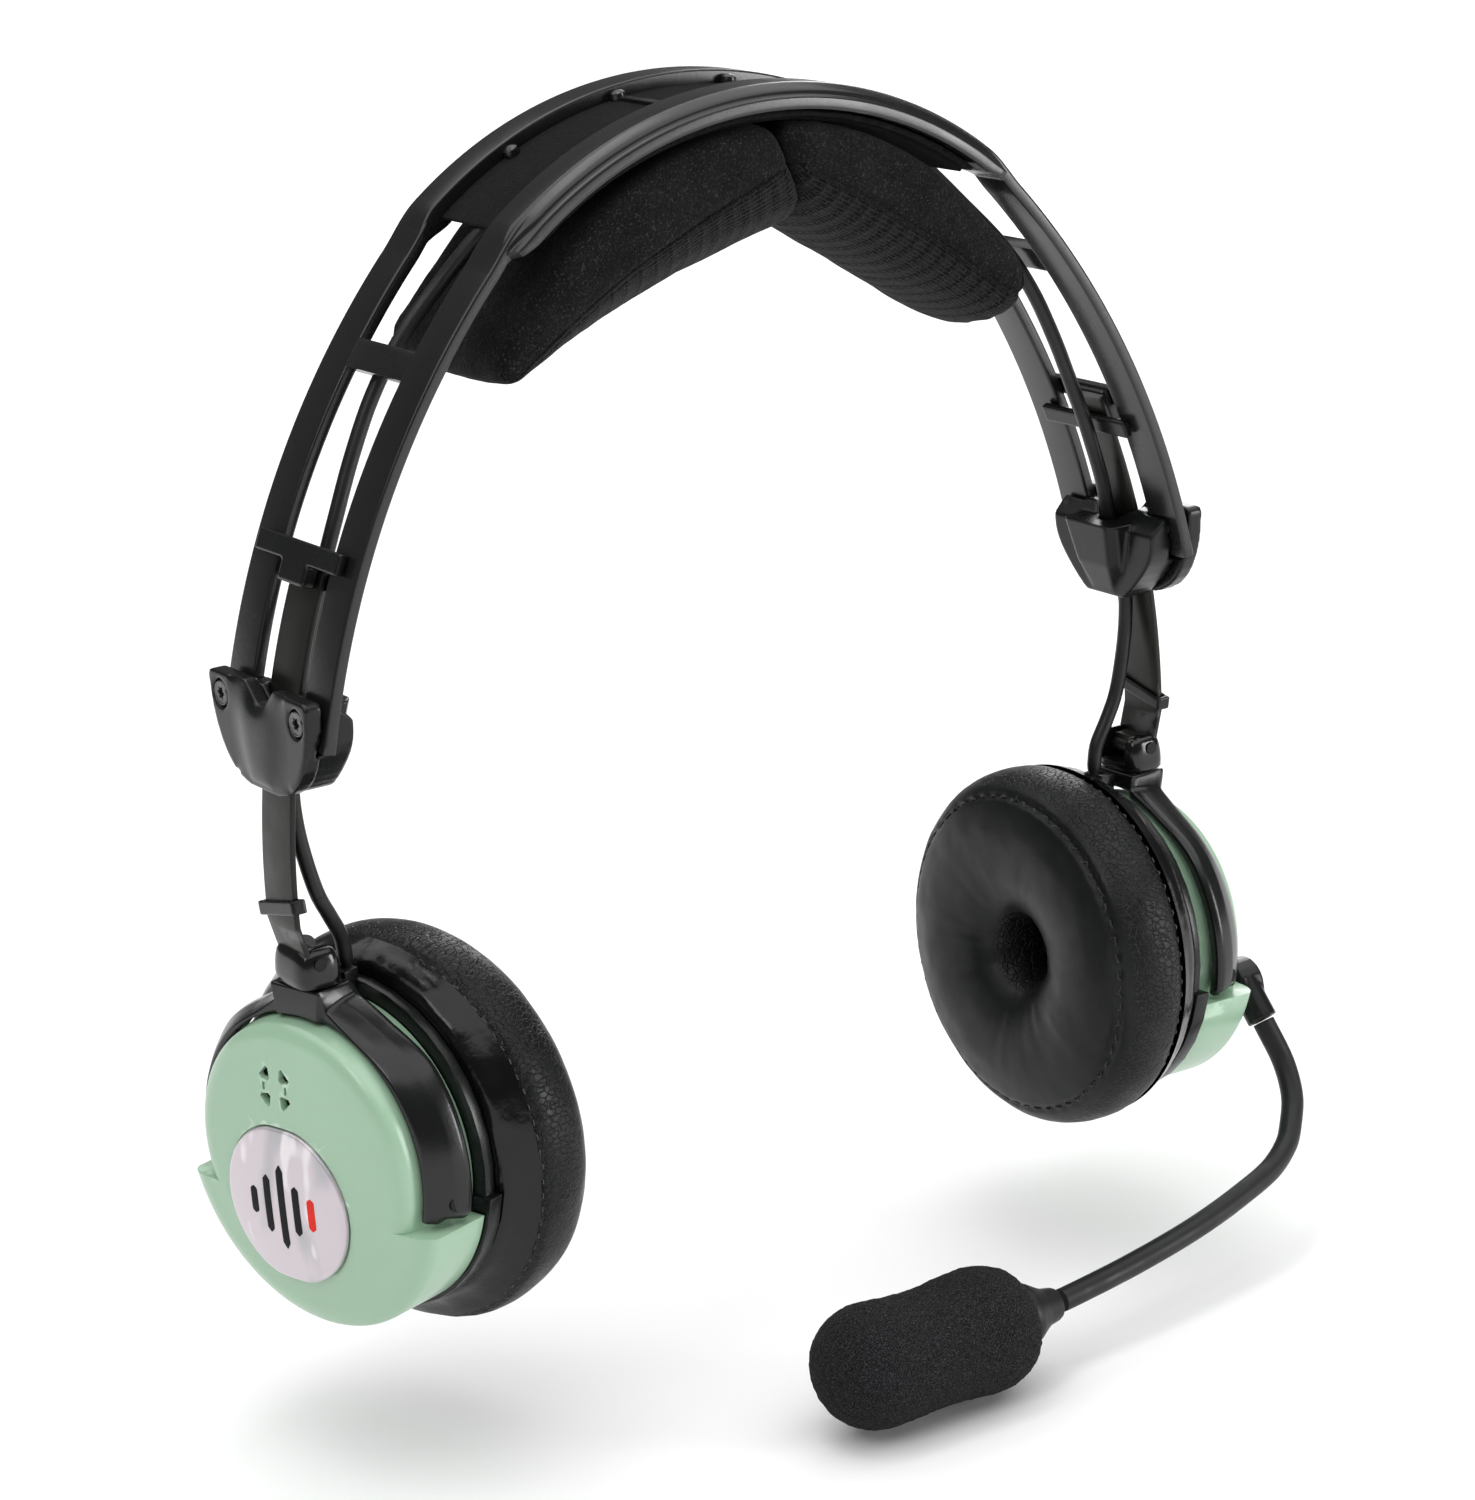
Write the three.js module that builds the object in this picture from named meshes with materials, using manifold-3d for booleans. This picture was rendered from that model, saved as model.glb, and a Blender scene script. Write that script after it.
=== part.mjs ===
// On-ear aviation headset: headband, sliding arms, swivelling yokes, tilting ear cups and a boom microphone.
// Millimetres. Origin midway between the ear cushions; +X is the wearer's left, -Y the front, +Z up.
// Each side is built as the left one (+X outward); the right one is the same turned half round about Z.
import * as THREE from 'three';
import { mergeVertices } from 'three/addons/utils/BufferGeometryUtils.js';
import Module from 'manifold-3d';

const wasm = await Module();
wasm.setup();

// ---- Driving dimensions ----------------------------------------------------------------------------
const gap = 0.3;                    // clearance between touching pieces

// Headband: a crown arc between two flatter side arcs, all tangent
const crownTop = 178.9;
const sideRadius = 158;
const sideCentre = { x: -60, z: 47.5 };
const bandHalfWidth = 18.25;
const railWidth = 9;
const railThickness = 2.3;
const railEndZ = 78;
const crossbarZ = { low: 137, high: 141.5 };
const upperHalfAngle = 40;          // degrees either side of the crown, for the deep moulded section
const upperTaper = 4;               // degrees over which it tapers into the rails
const upperHalfWidth = 20.3;
const upperRise = 0.3;              // above the plain crown arc, at the crown's top
const upperSag = 2.7;               // how far the crown section drops below that line at its ends
const upperDepth = 4.4;
const floorDepth = 2.2;
const floorThickness = 0.8;

// Head pad and its hook-and-loop strips
const padTop = 6.4;                 // below the band's outer surface
const padHalfWidth = 19.5;
const padCrease = { lean: 2.4, x: 6.5, z: 164.5 };
const padBulge = { crease: 13, cornerLeft: 8, cornerRight: 1 };
const padCorner = { x: 53, z: 134.5 };
const padEndZ = 141;
const padEndPull = { x: 59, z: 134.2 };     // control points that shape the end and the underside
const padUnderPull = { x: 29, z: 153 };
const stripHalfAngle = 42;
const stripThickness = 0.9;

// Clamp block that closes the foot of the rails
const blockTop = 87;
const blockBottom = 68.4;
const blockHalfWidth = 17.6;
const blockOuterX = 97.8;
const blockInnerX = 87.2;
const blockSplitX = 94.3;
const blockInnerDrop = 1.4;         // top of the inner half below the outer half's
const blockInnerHalfWidth = 15.4;
const notchHalfWidth = 5.2;
const notchDepth = 3.6;
const screwY = 13.6;
const screwZ = 83;
const screwHeadRadius = 2.3;
const screwShankRadius = 1.2;
const screwLength = 7.6;

// Sliding arm: a strip on an arc concentric with the side rails
const armHalfWidth = 5.3;
const armTopZ = 109.5;
const armBottomZ = 44;
const armOuter = 1.2;               // below the rails' outer surface
const armThickness = 1.1;
const armFootX = 94.1;
const armFootZ = 40.6;
const clipOuterZ = { low: 106.5, high: 110 };
const clipInnerZ = { low: 103, high: 106.2 };
const clipOuterHalfWidth = 14.4;
const clipInnerHalfWidth = 12.4;
const clipPlate = 1.6;
const keeperZ = { low: 45.6, high: 48.2 };

// Knuckle and its fold pin
const swivelX = 93;
const foldZ = 37;
const knuckleBottom = 32.6;
const pinRadius = 1.2;

// Yoke, in the cup's own frame: offset runs outward from the cushion seam
const swivelOffset = 16;
const yokeInner = 28.9;
const yokeOuter = 31.6;
const yokeOffset = { low: 9, ridge: 14.2, high: 17.5 };
const yokeEndZ = -6.8;
const seatTop = 32.3;
const seatRelief = { offset: 10.3, halfWidth: 3.6 };   // clears the cup's cable inlet as it tilts
const tiltPivot = { offset: 13.3, z: -3.5 };
const tiltPinRadius = 1.5;

// Ear cup, in the same frame
const capRadius = 27.6;
const capBase = 6;
const capFace = 22.3;
const capWall = 1.6;
const ledgeRadius = 31.6;
const ledgeTop = -8.2;
const ledgeBase = 7;
const badgeCentre = { rear: 3, z: -8 };
const badgeRadius = 14.6;
const ventCentre = { rear: 3.5, z: 14 };
const ventRadius = 3.4;
const inletOffset = 6.2;
const inletTop = 32.2;
const holeRadius = 6;
const cushionSwell = { left: 1, right: 1.12 };

// Rest attitude of each cup, degrees
const leftYaw = 1.7;
const rightYaw = 15.4;
const cupTilt = 2;

// Crossover cable and microphone boom
const cableRadius = 1.4;
const gooseneckRadius = 2.2;
const boomPivot = { offset: 23, y: -19.5, z: -11 };
const hubRadius = 5.2;
const hubLength = 5.2;
const screenRadius = 11.3;
const screenLength = 46.5;

// ---- Materials -------------------------------------------------------------------------------------
const finish = (color, roughness, metalness = 0) => () =>
  new THREE.MeshStandardMaterial({ color, roughness, metalness });
const blackPlastic = finish(0x262a28, 0.42);
const glossBlack = finish(0x1c1e1d, 0.2);
const paintedSteel = finish(0x2b302d, 0.4, 0.4);
const sagePlastic = finish(0xa5c8aa, 0.25);
const leather = finish(0x1d1f1f, 0.55);
const fabric = finish(0x15171a, 0.95);
const foam = finish(0x232326, 1);
const steel = finish(0x6f7272, 0.35, 1);
const silver = finish(0xd9d2d8, 0.18, 0.6);
const rubber = finish(0x202221, 0.7);
const boardGreen = finish(0x27603a, 0.5);

// ---- Geometry helpers ------------------------------------------------------------------------------
const rad = THREE.MathUtils.degToRad;
const v2 = (x, y) => new THREE.Vector2(x, y);
const v3 = (x, y, z) => new THREE.Vector3(x, y, z);

function toSolid(geometry) {
  const bare = geometry.index ? geometry.clone() : geometry;
  bare.deleteAttribute('normal');
  bare.deleteAttribute('uv');
  const merged = mergeVertices(bare, 1e-4);
  const vertProperties = new Float32Array(merged.attributes.position.array);
  const triVerts = new Uint32Array(merged.index.array);
  return new wasm.Manifold(new wasm.Mesh({ numProp: 3, vertProperties, triVerts }));
}

function toGeometry(solid) {
  const mesh = solid.getMesh();
  const geometry = new THREE.BufferGeometry();
  geometry.setAttribute('position', new THREE.BufferAttribute(new Float32Array(mesh.vertProperties), 3));
  geometry.setIndex(new THREE.BufferAttribute(new Uint32Array(mesh.triVerts), 1));
  return geometry;
}

const join = (...parts) => toGeometry(parts.map(toSolid).reduce((a, b) => a.add(b)));
const cut = (body, ...tools) => toGeometry(tools.map(toSolid).reduce((a, b) => a.subtract(b), toSolid(body)));
const common = (a, b) => toGeometry(toSolid(a).intersect(toSolid(b)));

function box(x0, x1, y0, y1, z0, z1) {
  const geometry = new THREE.BoxGeometry(x1 - x0, y1 - y0, z1 - z0);
  return geometry.translate((x0 + x1) / 2, (y0 + y1) / 2, (z0 + z1) / 2);
}

// Turns the faces round where the volume they enclose comes out negative
function outward(geometry) {
  const corner = (index) => new THREE.Vector3().fromBufferAttribute(geometry.attributes.position, index);
  const faces = Array.from(geometry.index.array);
  let volume = 0;
  for (let i = 0; i < faces.length; i += 3) {
    volume += corner(faces[i]).dot(corner(faces[i + 1]).cross(corner(faces[i + 2])));
  }
  if (volume < 0) geometry.setIndex(faces.reverse());
  return geometry;
}

// A turned solid about the X axis: the profile's points are (offset along X, radius)
function turned(profile, segments = 48) {
  const points = profile.map(([offset, radius]) => v2(radius, offset));
  return outward(new THREE.LatheGeometry(points, segments).rotateZ(-Math.PI / 2));
}

// A turned ring: the same, with the profile closed on itself
const turnedRing = (profile, segments) => turned([...profile, profile[0]], segments);

function rodX(radius, x0, x1, y, z, segments = 12) {
  const geometry = new THREE.CylinderGeometry(radius, radius, x1 - x0, segments);
  return geometry.rotateZ(Math.PI / 2).translate((x0 + x1) / 2, y, z);
}

function rodY(radius, y0, y1, x, z, segments = 12) {
  const geometry = new THREE.CylinderGeometry(radius, radius, y1 - y0, segments);
  return geometry.translate(x, (y0 + y1) / 2, z);
}

function rodZ(radius, z0, z1, x, y, segments = 12) {
  const geometry = new THREE.CylinderGeometry(radius, radius, z1 - z0, segments);
  return geometry.rotateX(Math.PI / 2).translate(x, y, (z0 + z1) / 2);
}

// A shape in the XZ plane, extruded from y0 to y1
function slabY(shape, y0, y1, curveSegments = 12) {
  const geometry = new THREE.ExtrudeGeometry(shape, { depth: y1 - y0, bevelEnabled: false, curveSegments });
  return geometry.rotateX(Math.PI / 2).translate(0, y1, 0);
}

// A shape in the YZ plane, extruded from x0 to x1
function slabX(shape, x0, x1, curveSegments = 12) {
  const geometry = new THREE.ExtrudeGeometry(shape, { depth: x1 - x0, bevelEnabled: false, curveSegments });
  geometry.rotateY(Math.PI / 2).rotateX(Math.PI / 2);
  return geometry.translate(x0, 0, 0);
}

// Points and side faces of a row of rings that all have the same number of points
function ringSides(rings) {
  const count = rings[0].length;
  const positions = rings.flat().flatMap((p) => [p.x, p.y, p.z]);
  const faces = [];
  for (let i = 0; i + 1 < rings.length; i += 1) {
    for (let j = 0; j < count; j += 1) {
      const a = i * count + j;
      const b = i * count + ((j + 1) % count);
      faces.push(a, b, b + count, a, b + count, a + count);
    }
  }
  return { positions, faces, last: (rings.length - 1) * count };
}

function fromFaces(positions, faces) {
  const geometry = new THREE.BufferGeometry();
  geometry.setAttribute('position', new THREE.BufferAttribute(new Float32Array(positions), 3));
  geometry.setIndex(faces);
  return outward(geometry);
}

// A closed solid through a row of rings whose end outlines are convex
function loft(rings) {
  const { positions, faces, last } = ringSides(rings);
  for (let j = 1; j + 1 < rings[0].length; j += 1) {
    faces.push(0, j + 1, j, last, last + j, last + j + 1);
  }
  return fromFaces(positions, faces);
}

// The same for end outlines that may be concave and lie across the Y axis
function concaveLoft(rings) {
  const { positions, faces, last } = ringSides(rings);
  const outline = rings[0].map((p) => v2(p.x, p.z));
  const clockwise = THREE.ShapeUtils.isClockWise(outline);
  THREE.ShapeUtils.triangulateShape(outline, []).forEach(([a, b, c]) => {
    if (clockwise) faces.push(a, b, c, last + a, last + c, last + b);
    else faces.push(a, c, b, last + a, last + b, last + c);
  });
  return fromFaces(positions, faces);
}

// A round tube along a smooth curve through the points
function tube(points, radius, steps, sides = 8) {
  const section = new THREE.Shape();
  for (let i = 0; i < sides; i += 1) {
    const angle = (2 * Math.PI * i) / sides;
    const x = radius * Math.cos(angle);
    const y = radius * Math.sin(angle);
    if (i === 0) section.moveTo(x, y);
    else section.lineTo(x, y);
  }
  const extrudePath = new THREE.CatmullRomCurve3(points, false, 'centripetal');
  return new THREE.ExtrudeGeometry(section, { steps, bevelEnabled: false, extrudePath });
}

// ---- Headband arcs ---------------------------------------------------------------------------------
const rise = crownTop - sideCentre.z;
const crownRadius = (sideRadius ** 2 - rise ** 2 - sideCentre.x ** 2) / (2 * (sideRadius - rise));
const crownCentreZ = crownTop - crownRadius;
const joinAngle = Math.atan2(crownCentreZ - sideCentre.z, -sideCentre.x);
const sideAngle = (z, depth = 0) => Math.asin((z - sideCentre.z) / (sideRadius - depth));

function arc(centreX, centreZ, radius, start, end, count) {
  const at = (i) => start + ((end - start) * i) / count;
  const point = (angle) => v2(centreX + radius * Math.cos(angle), centreZ + radius * Math.sin(angle));
  return Array.from({ length: count + 1 }, (_, i) => point(at(i)));
}

// Points of the left rail's line, from its foot up to where the crown section takes over
function railLine(depth) {
  const crownEnd = Math.PI / 2 - rad(upperHalfAngle + upperTaper / 2);
  const side = arc(sideCentre.x, sideCentre.z, sideRadius - depth, sideAngle(railEndZ, depth), joinAngle, 8);
  const crown = arc(0, crownCentreZ, crownRadius - depth, joinAngle, crownEnd, 1);
  return [...side, ...crown.slice(1)];
}

// A slice of the left side arc between two heights
function sideShape(top, bottom, lowZ, highZ, count = 3) {
  const line = (depth) => arc(
    sideCentre.x, sideCentre.z, sideRadius - depth, sideAngle(lowZ), sideAngle(highZ), count);
  return new THREE.Shape([...line(top), ...line(bottom).reverse()]);
}

// A slice of the crown arc, half an angle to each side of the top
function crownShape(top, bottom, halfAngle, count = 18) {
  const line = (depth) => Array.from({ length: count + 1 }, (_, i) => {
    const angle = halfAngle - (2 * halfAngle * i) / count;
    const p = onCrown(depth + crownSag(angle), 0, angle);
    return v2(p.x, p.z);
  });
  return new THREE.Shape([...line(top), ...line(bottom).reverse()]);
}

// Point at a depth under the left side arc's outer surface, at a height
function onSide(depth, y, z) {
  return v3(sideCentre.x + Math.sqrt((sideRadius - depth) ** 2 - (z - sideCentre.z) ** 2), y, z);
}

// Point at a depth under the crown arc's outer surface, at an angle from the top towards +X
function onCrown(depth, y, angle) {
  const radius = crownRadius - depth;
  return v3(radius * Math.sin(rad(angle)), y, crownCentreZ + radius * Math.cos(rad(angle)));
}

// ---- Headband --------------------------------------------------------------------------------------
const both = (make) => [make(1), make(-1)];

function rail(side) {
  const inner = bandHalfWidth - railWidth;
  const y0 = side > 0 ? inner : -bandHalfWidth;
  const outline = new THREE.Shape([...railLine(0), ...railLine(railThickness).reverse()]);
  return slabY(outline, y0, y0 + railWidth);
}

// Depth of the crown section below the plain crown arc
const crownSag = (angle) => upperSag * (angle / upperHalfAngle) ** 2;

// The deep moulded rail over the crown, tapering at both ends
function upperRail(side) {
  const limit = upperHalfAngle + upperTaper;
  const angles = [-limit];
  for (let angle = -upperHalfAngle; angle <= upperHalfAngle; angle += 8) angles.push(angle);
  angles.push(limit);
  const rings = angles.map((angle) => {
    const full = Math.abs(angle) <= upperHalfAngle;
    const sag = crownSag(angle);
    const top = full ? sag - upperRise : 0.2;
    const bottom = full ? sag + upperDepth : railThickness - 0.2;
    const outer = full ? upperHalfWidth : bandHalfWidth - 0.2;
    const inner = bandHalfWidth - railWidth + (full ? 0.8 : 0.2);
    const ring = [[top, outer], [bottom, outer], [bottom, inner], [top, inner]];
    if (side < 0) ring.reverse();
    return ring.map(([depth, y]) => onCrown(depth, side * y, angle));
  });
  return loft(rings);
}

function crossbar(side) {
  const bar = slabY(sideShape(0, railThickness, crossbarZ.low, crossbarZ.high), -10, 10);
  return side > 0 ? bar : bar.rotateZ(Math.PI);
}

// Small ribs that stiffen the trough between the two upper rails
function troughRib(angle) {
  const rib = box(-0.7, 0.7, -10.5, 10.5, crownRadius - floorDepth - 0.3, crownRadius - 0.4);
  return rib.rotateY(rad(angle)).translate(0, 0, crownCentreZ);
}

function headbandFrame() {
  const floor = slabY(crownShape(floorDepth, floorDepth + floorThickness, upperHalfAngle), -10.6, 10.6);
  const ribs = [-9, 9].map(troughRib);
  const rails = [...both(rail), ...both((side) => rail(side).rotateZ(Math.PI))];
  const frame = join(...rails, ...both(upperRail), ...both(crossbar), floor, ...ribs);
  const holes = both((side) => both((end) => {
    const reach = [end * 88, end * 98].sort((a, b) => a - b);
    return rodX(screwShankRadius + gap, ...reach, side * screwY, screwZ);
  })).flat();
  return cut(frame, ...holes);
}

function hookStrip(side) {
  const shape = crownShape(upperDepth + gap, upperDepth + gap + stripThickness, stripHalfAngle);
  const y0 = side > 0 ? 9.6 : -18.4;
  return slabY(shape, y0, y0 + 8.8);
}

// One lobe of the head pad: a wedge under the left half of the crown, with a bulging underside.
// The crease between the lobes leans to one side: lean is +1 on the lobe that starts beyond the middle.
function padLobe(lean, cornerBulge) {
  const topX = lean * padCrease.lean + gap;
  const creaseX = lean * padCrease.x + gap;
  const depthAt = (angle) => padTop + crownSag(Math.min(angle, upperHalfAngle));
  const crownEnd = 90 - THREE.MathUtils.radToDeg(joinAngle);
  const topAngle = THREE.MathUtils.radToDeg(Math.asin(topX / (crownRadius - padTop)));
  const crown = Array.from({ length: 9 }, (_, i) => {
    const angle = topAngle + ((crownEnd - topAngle) * i) / 8;
    return onCrown(depthAt(angle), 0, angle);
  }).map((p) => v2(p.x, p.z));
  const endTop = onSide(depthAt(crownEnd), 0, padEndZ);
  const corner = v2(padCorner.x, padCorner.z);
  const end = new THREE.QuadraticBezierCurve(
    v2(endTop.x, endTop.z), v2(padEndPull.x, padEndPull.z), corner).getPoints(3);
  const under = new THREE.QuadraticBezierCurve(
    corner, v2(padUnderPull.x, padUnderPull.z), v2(creaseX, padCrease.z)).getPoints(7);
  const slant = (creaseX - topX) / (crown[0].y - padCrease.z);
  const ring = (y, swell) => [
    ...crown.map((p) => v3(p.x, y, p.y)),
    ...end.map((p, i) => v3(p.x, y, p.y - swell * cornerBulge * (i / 3))),
    ...under.slice(1).map((p, i) => {
      const share = (i + 1) / 7;
      const drop = swell * THREE.MathUtils.lerp(cornerBulge, padBulge.crease, share ** 0.6);
      return v3(p.x + drop * slant * share ** 2, y, p.y - drop);
    }),
  ];
  const stations = [[-1, 0], [-0.88, 0.5], [-0.5, 0.86], [0, 1], [0.5, 0.86], [0.88, 0.5], [1, 0]];
  return concaveLoft(stations.map(([y, swell]) => ring(y * padHalfWidth, swell)));
}

// ---- Clamp block -----------------------------------------------------------------------------------
// Shield outline in the YZ plane, with a notch in the top edge for the arm
function shieldShape(half, top) {
  const bottom = blockBottom;
  const shape = new THREE.Shape();
  shape.moveTo(notchHalfWidth, top);
  shape.lineTo(half - 1.5, top);
  shape.quadraticCurveTo(half, top, half, top - 1.5);
  shape.lineTo(half - 0.6, top - 6.5);
  shape.quadraticCurveTo(half - 3.2, bottom + 1.5, 5.5, bottom);
  shape.lineTo(-5.5, bottom);
  shape.quadraticCurveTo(3.2 - half, bottom + 1.5, 0.6 - half, top - 6.5);
  shape.lineTo(-half, top - 1.5);
  shape.quadraticCurveTo(-half, top, 1.5 - half, top);
  shape.lineTo(-notchHalfWidth, top);
  shape.lineTo(-1.2, top - notchDepth);
  shape.lineTo(1.2, top - notchDepth);
  return shape;
}

// Space that the rails, the arm and the cable take up inside the block
function blockPassages(cable) {
  const inner = bandHalfWidth - railWidth - gap;
  const outer = bandHalfWidth + gap;
  const rails = sideShape(-gap, railThickness + gap, railEndZ - 1, blockTop + 3);
  const arm = sideShape(armOuter - gap, armOuter + armThickness + gap, blockBottom - 3, blockTop + 3);
  return [
    slabY(rails, inner, outer),
    slabY(rails, -outer, -inner),
    slabY(arm, -armHalfWidth - gap, armHalfWidth + gap),
    tube(cable, cableRadius + 0.7, 9, 6),
  ];
}

function clampOuter(cable) {
  const plate = slabX(shieldShape(blockHalfWidth, blockTop), blockSplitX + gap / 2, blockOuterX, 6);
  const ridge = slabX(ridgeShape(), blockOuterX - 0.5, blockOuterX + 0.9);
  const bore = (radius, x0, segments) => both(
    (side) => rodX(radius + gap, x0, blockOuterX + 1, side * screwY, screwZ, segments));
  const screws = bore(screwShankRadius, blockSplitX - 1, 12);
  const heads = bore(screwHeadRadius, blockOuterX - 1.5, 16);
  return cut(join(plate, ridge), ...blockPassages(cable), ...screws, ...heads);
}

// The raised middle of the outer half
function ridgeShape() {
  const shape = new THREE.Shape();
  shape.moveTo(6.2, blockTop - 5);
  shape.quadraticCurveTo(5.6, blockTop - 12, 3.6, blockBottom + 1.5);
  shape.lineTo(-3.6, blockBottom + 1.5);
  shape.quadraticCurveTo(-5.6, blockTop - 12, -6.2, blockTop - 5);
  shape.quadraticCurveTo(0, blockTop - 3.6, 6.2, blockTop - 5);
  return shape;
}

// The funnel on the inner half that the cable runs through
function funnel() {
  const ring = (z, half, reach) => [
    v3(blockSplitX - 3, -half, z), v3(blockSplitX - 3, half, z),
    v3(reach + 1.5, half, z), v3(reach, half - 2, z), v3(reach, 2 - half, z), v3(reach + 1.5, -half, z),
  ];
  return loft([ring(blockBottom + 0.6, 5, 87.2), ring(75, 6.6, 84.6), ring(blockTop - 3.6, 8, 82.8)]);
}

function clampInner(cable) {
  const top = blockTop - blockInnerDrop;
  const plate = slabX(shieldShape(blockInnerHalfWidth, top), blockInnerX, blockSplitX - gap / 2, 6);
  const edgeX = blockInnerX - 1;
  const wedge = new THREE.Shape([v2(edgeX, top - 4.6), v2(edgeX, top + 1), v2(edgeX + 5.5, top + 1)]);
  const slope = slabY(wedge, -30, 30);
  const screws = both((side) => rodX(screwShankRadius + gap, 89.4, blockSplitX + 1, side * screwY, screwZ));
  return cut(join(cut(plate, slope), funnel()), ...blockPassages(cable), ...screws);
}

function clampScrew(side) {
  const shank = rodX(screwShankRadius, blockOuterX - screwLength, blockOuterX - 0.5, side * screwY, screwZ);
  const head = rodX(screwHeadRadius, blockOuterX - 1.2, blockOuterX - 0.15, side * screwY, screwZ, 16);
  const socket = rodX(1, blockOuterX - 0.9, blockOuterX + 1, side * screwY, screwZ, 6);
  return cut(join(shank, head), socket);
}

// ---- Sliding arm -----------------------------------------------------------------------------------
function armStrip() {
  const half = armThickness / 2;
  const line = (depth) => arc(
    sideCentre.x, sideCentre.z, sideRadius - depth, sideAngle(armBottomZ), sideAngle(armTopZ), 10);
  const outline = new THREE.Shape([
    v2(armFootX + half, armFootZ), ...line(armOuter),
    ...line(armOuter + armThickness).reverse(), v2(armFootX - half, armFootZ)]);
  return slabY(outline, -armHalfWidth, armHalfWidth);
}

// Hinge foot under the strip, that the fold pin passes through
function armFoot() {
  const block = box(swivelX - 1.6, swivelX + 2.6, -3.3, 3.3, foldZ, 40.3);
  const eye = rodY(2.6, -3.3, 3.3, swivelX, foldZ, 14);
  return cut(join(block, eye), rodY(pinRadius + 0.1, -4, 4, swivelX, foldZ, 14));
}

function clipOuter() {
  const top = -gap - clipPlate;
  const plate = sideShape(top, -gap, clipOuterZ.low, clipOuterZ.high);
  const key = sideShape(top, armOuter - gap, clipInnerZ.low, clipOuterZ.high - 0.4);
  return join(slabY(plate, -clipOuterHalfWidth, clipOuterHalfWidth), slabY(key, -4.4, 4.4));
}

function clipInner() {
  const depth = railThickness + gap;
  const plate = sideShape(depth, depth + clipPlate, clipInnerZ.low, clipInnerZ.high);
  return slabY(plate, -clipInnerHalfWidth, clipInnerHalfWidth);
}

function armKeeper() {
  const armInner = armOuter + armThickness;
  const body = sideShape(armOuter - 0.9, armInner + 0.9, keeperZ.low, keeperZ.high);
  const slot = sideShape(armOuter - gap, armInner + gap, keeperZ.low - 1, keeperZ.high + 1);
  return cut(slabY(body, -6.6, 6.6), slabY(slot, -armHalfWidth - gap, armHalfWidth + gap));
}

// ---- Knuckle ---------------------------------------------------------------------------------------
// A domed block with a slot for the arm's foot
function knuckle() {
  const ring = (z, x0, x1, half) => [
    v3(x0 + 1.5, -half, z), v3(x1 - 1.5, -half, z), v3(x1, 1.5 - half, z), v3(x1, half - 1.5, z),
    v3(x1 - 1.5, half, z), v3(x0 + 1.5, half, z), v3(x0, half - 1.5, z), v3(x0, 1.5 - half, z),
  ];
  const dome = loft([
    ring(knuckleBottom, 88.2, 96.6, 6.9), ring(34.6, 88, 96.8, 6.9), ring(37.2, 88.6, 96.4, 6.6),
    ring(38.8, 89.8, 95.8, 6), ring(39.6, 91, 94.6, 5.2),
  ]);
  const slot = box(80, 100, -3.6, 3.6, foldZ - 2.95, 45);
  return cut(dome, slot, rodY(pinRadius + gap, -9, 9, swivelX, foldZ, 14));
}

const foldPin = () => rodY(pinRadius, -6.3, 6.3, swivelX, foldZ, 14);

// ---- Yoke ------------------------------------------------------------------------------------------
// A C that holds the cup front and rear, in the cup's frame (X outward from the cushion seam)
function yoke() {
  const end = Math.asin(yokeEndZ / yokeInner);
  const steps = 16;
  const rings = [];
  for (let i = 0; i <= steps; i += 1) {
    const angle = end + ((Math.PI - 2 * end) * i) / steps;
    const section = [
      [yokeOffset.low, yokeInner], [yokeOffset.low, yokeOuter - 1.3], [yokeOffset.ridge, yokeOuter],
      [yokeOffset.high, yokeOuter - 1.1], [yokeOffset.high, yokeInner],
    ];
    rings.push(section.map(([x, r]) => v3(x, r * Math.cos(angle), r * Math.sin(angle))));
  }
  const bow = loft(rings);
  const shoulder = (z, x0, x1, half) => [
    v3(x0, -half, z), v3(x1, -half, z), v3(x1, half, z), v3(x0, half, z)];
  const seat = loft([
    shoulder(27, 10.4, 17.9, 13), shoulder(29, 10.6, 18.2, 9.4), shoulder(seatTop, 10.9, 19.4, 7.3)]);
  const hollow = rodX(yokeInner, 0, 30, 0, 0, 40);
  const holes = rodY(tiltPinRadius + gap, -40, 40, tiltPivot.offset, tiltPivot.z);
  const relief = box(0, seatRelief.offset, -seatRelief.halfWidth, seatRelief.halfWidth, 20, 40);
  return cut(join(bow, seat), hollow, holes, relief);
}

const tiltPin = (side) => {
  const reach = [side * 25.4, side * 30.6].sort((a, b) => a - b);
  return rodY(tiltPinRadius, ...reach, tiltPivot.offset, tiltPivot.z);
};

// ---- Ear cup ---------------------------------------------------------------------------------------
function earCushion(swell) {
  const profile = [
    [-0.3, holeRadius], [-0.3, 33.4], [-3, 35.2], [-7.5, 36], [-12, 35], [-15.3, 31.8], [-17.6, 28],
    [-18.2, 23], [-16.8, 17], [-13, 11], [-8.5, 7.2],
  ];
  return turnedRing(profile.map(([offset, radius]) => [offset * swell, radius]), 28);
}

function cushionSkirt() {
  return turnedRing([[0, 12.2], [3.3, 12.2], [3.3, 31], [2.6, 32.4], [1, 33], [0, 32.6]], 28);
}

const driverCover = () => turned([[1.2, 0], [1.2, 11.7], [3, 11.7], [3, 0]], 16);

function speakerDriver() {
  return turned([[3.5, 0], [3.5, 11.6], [7.4, 11.6], [7.4, 7.2], [10.2, 7.2], [10.2, 0]], 20);
}

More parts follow.
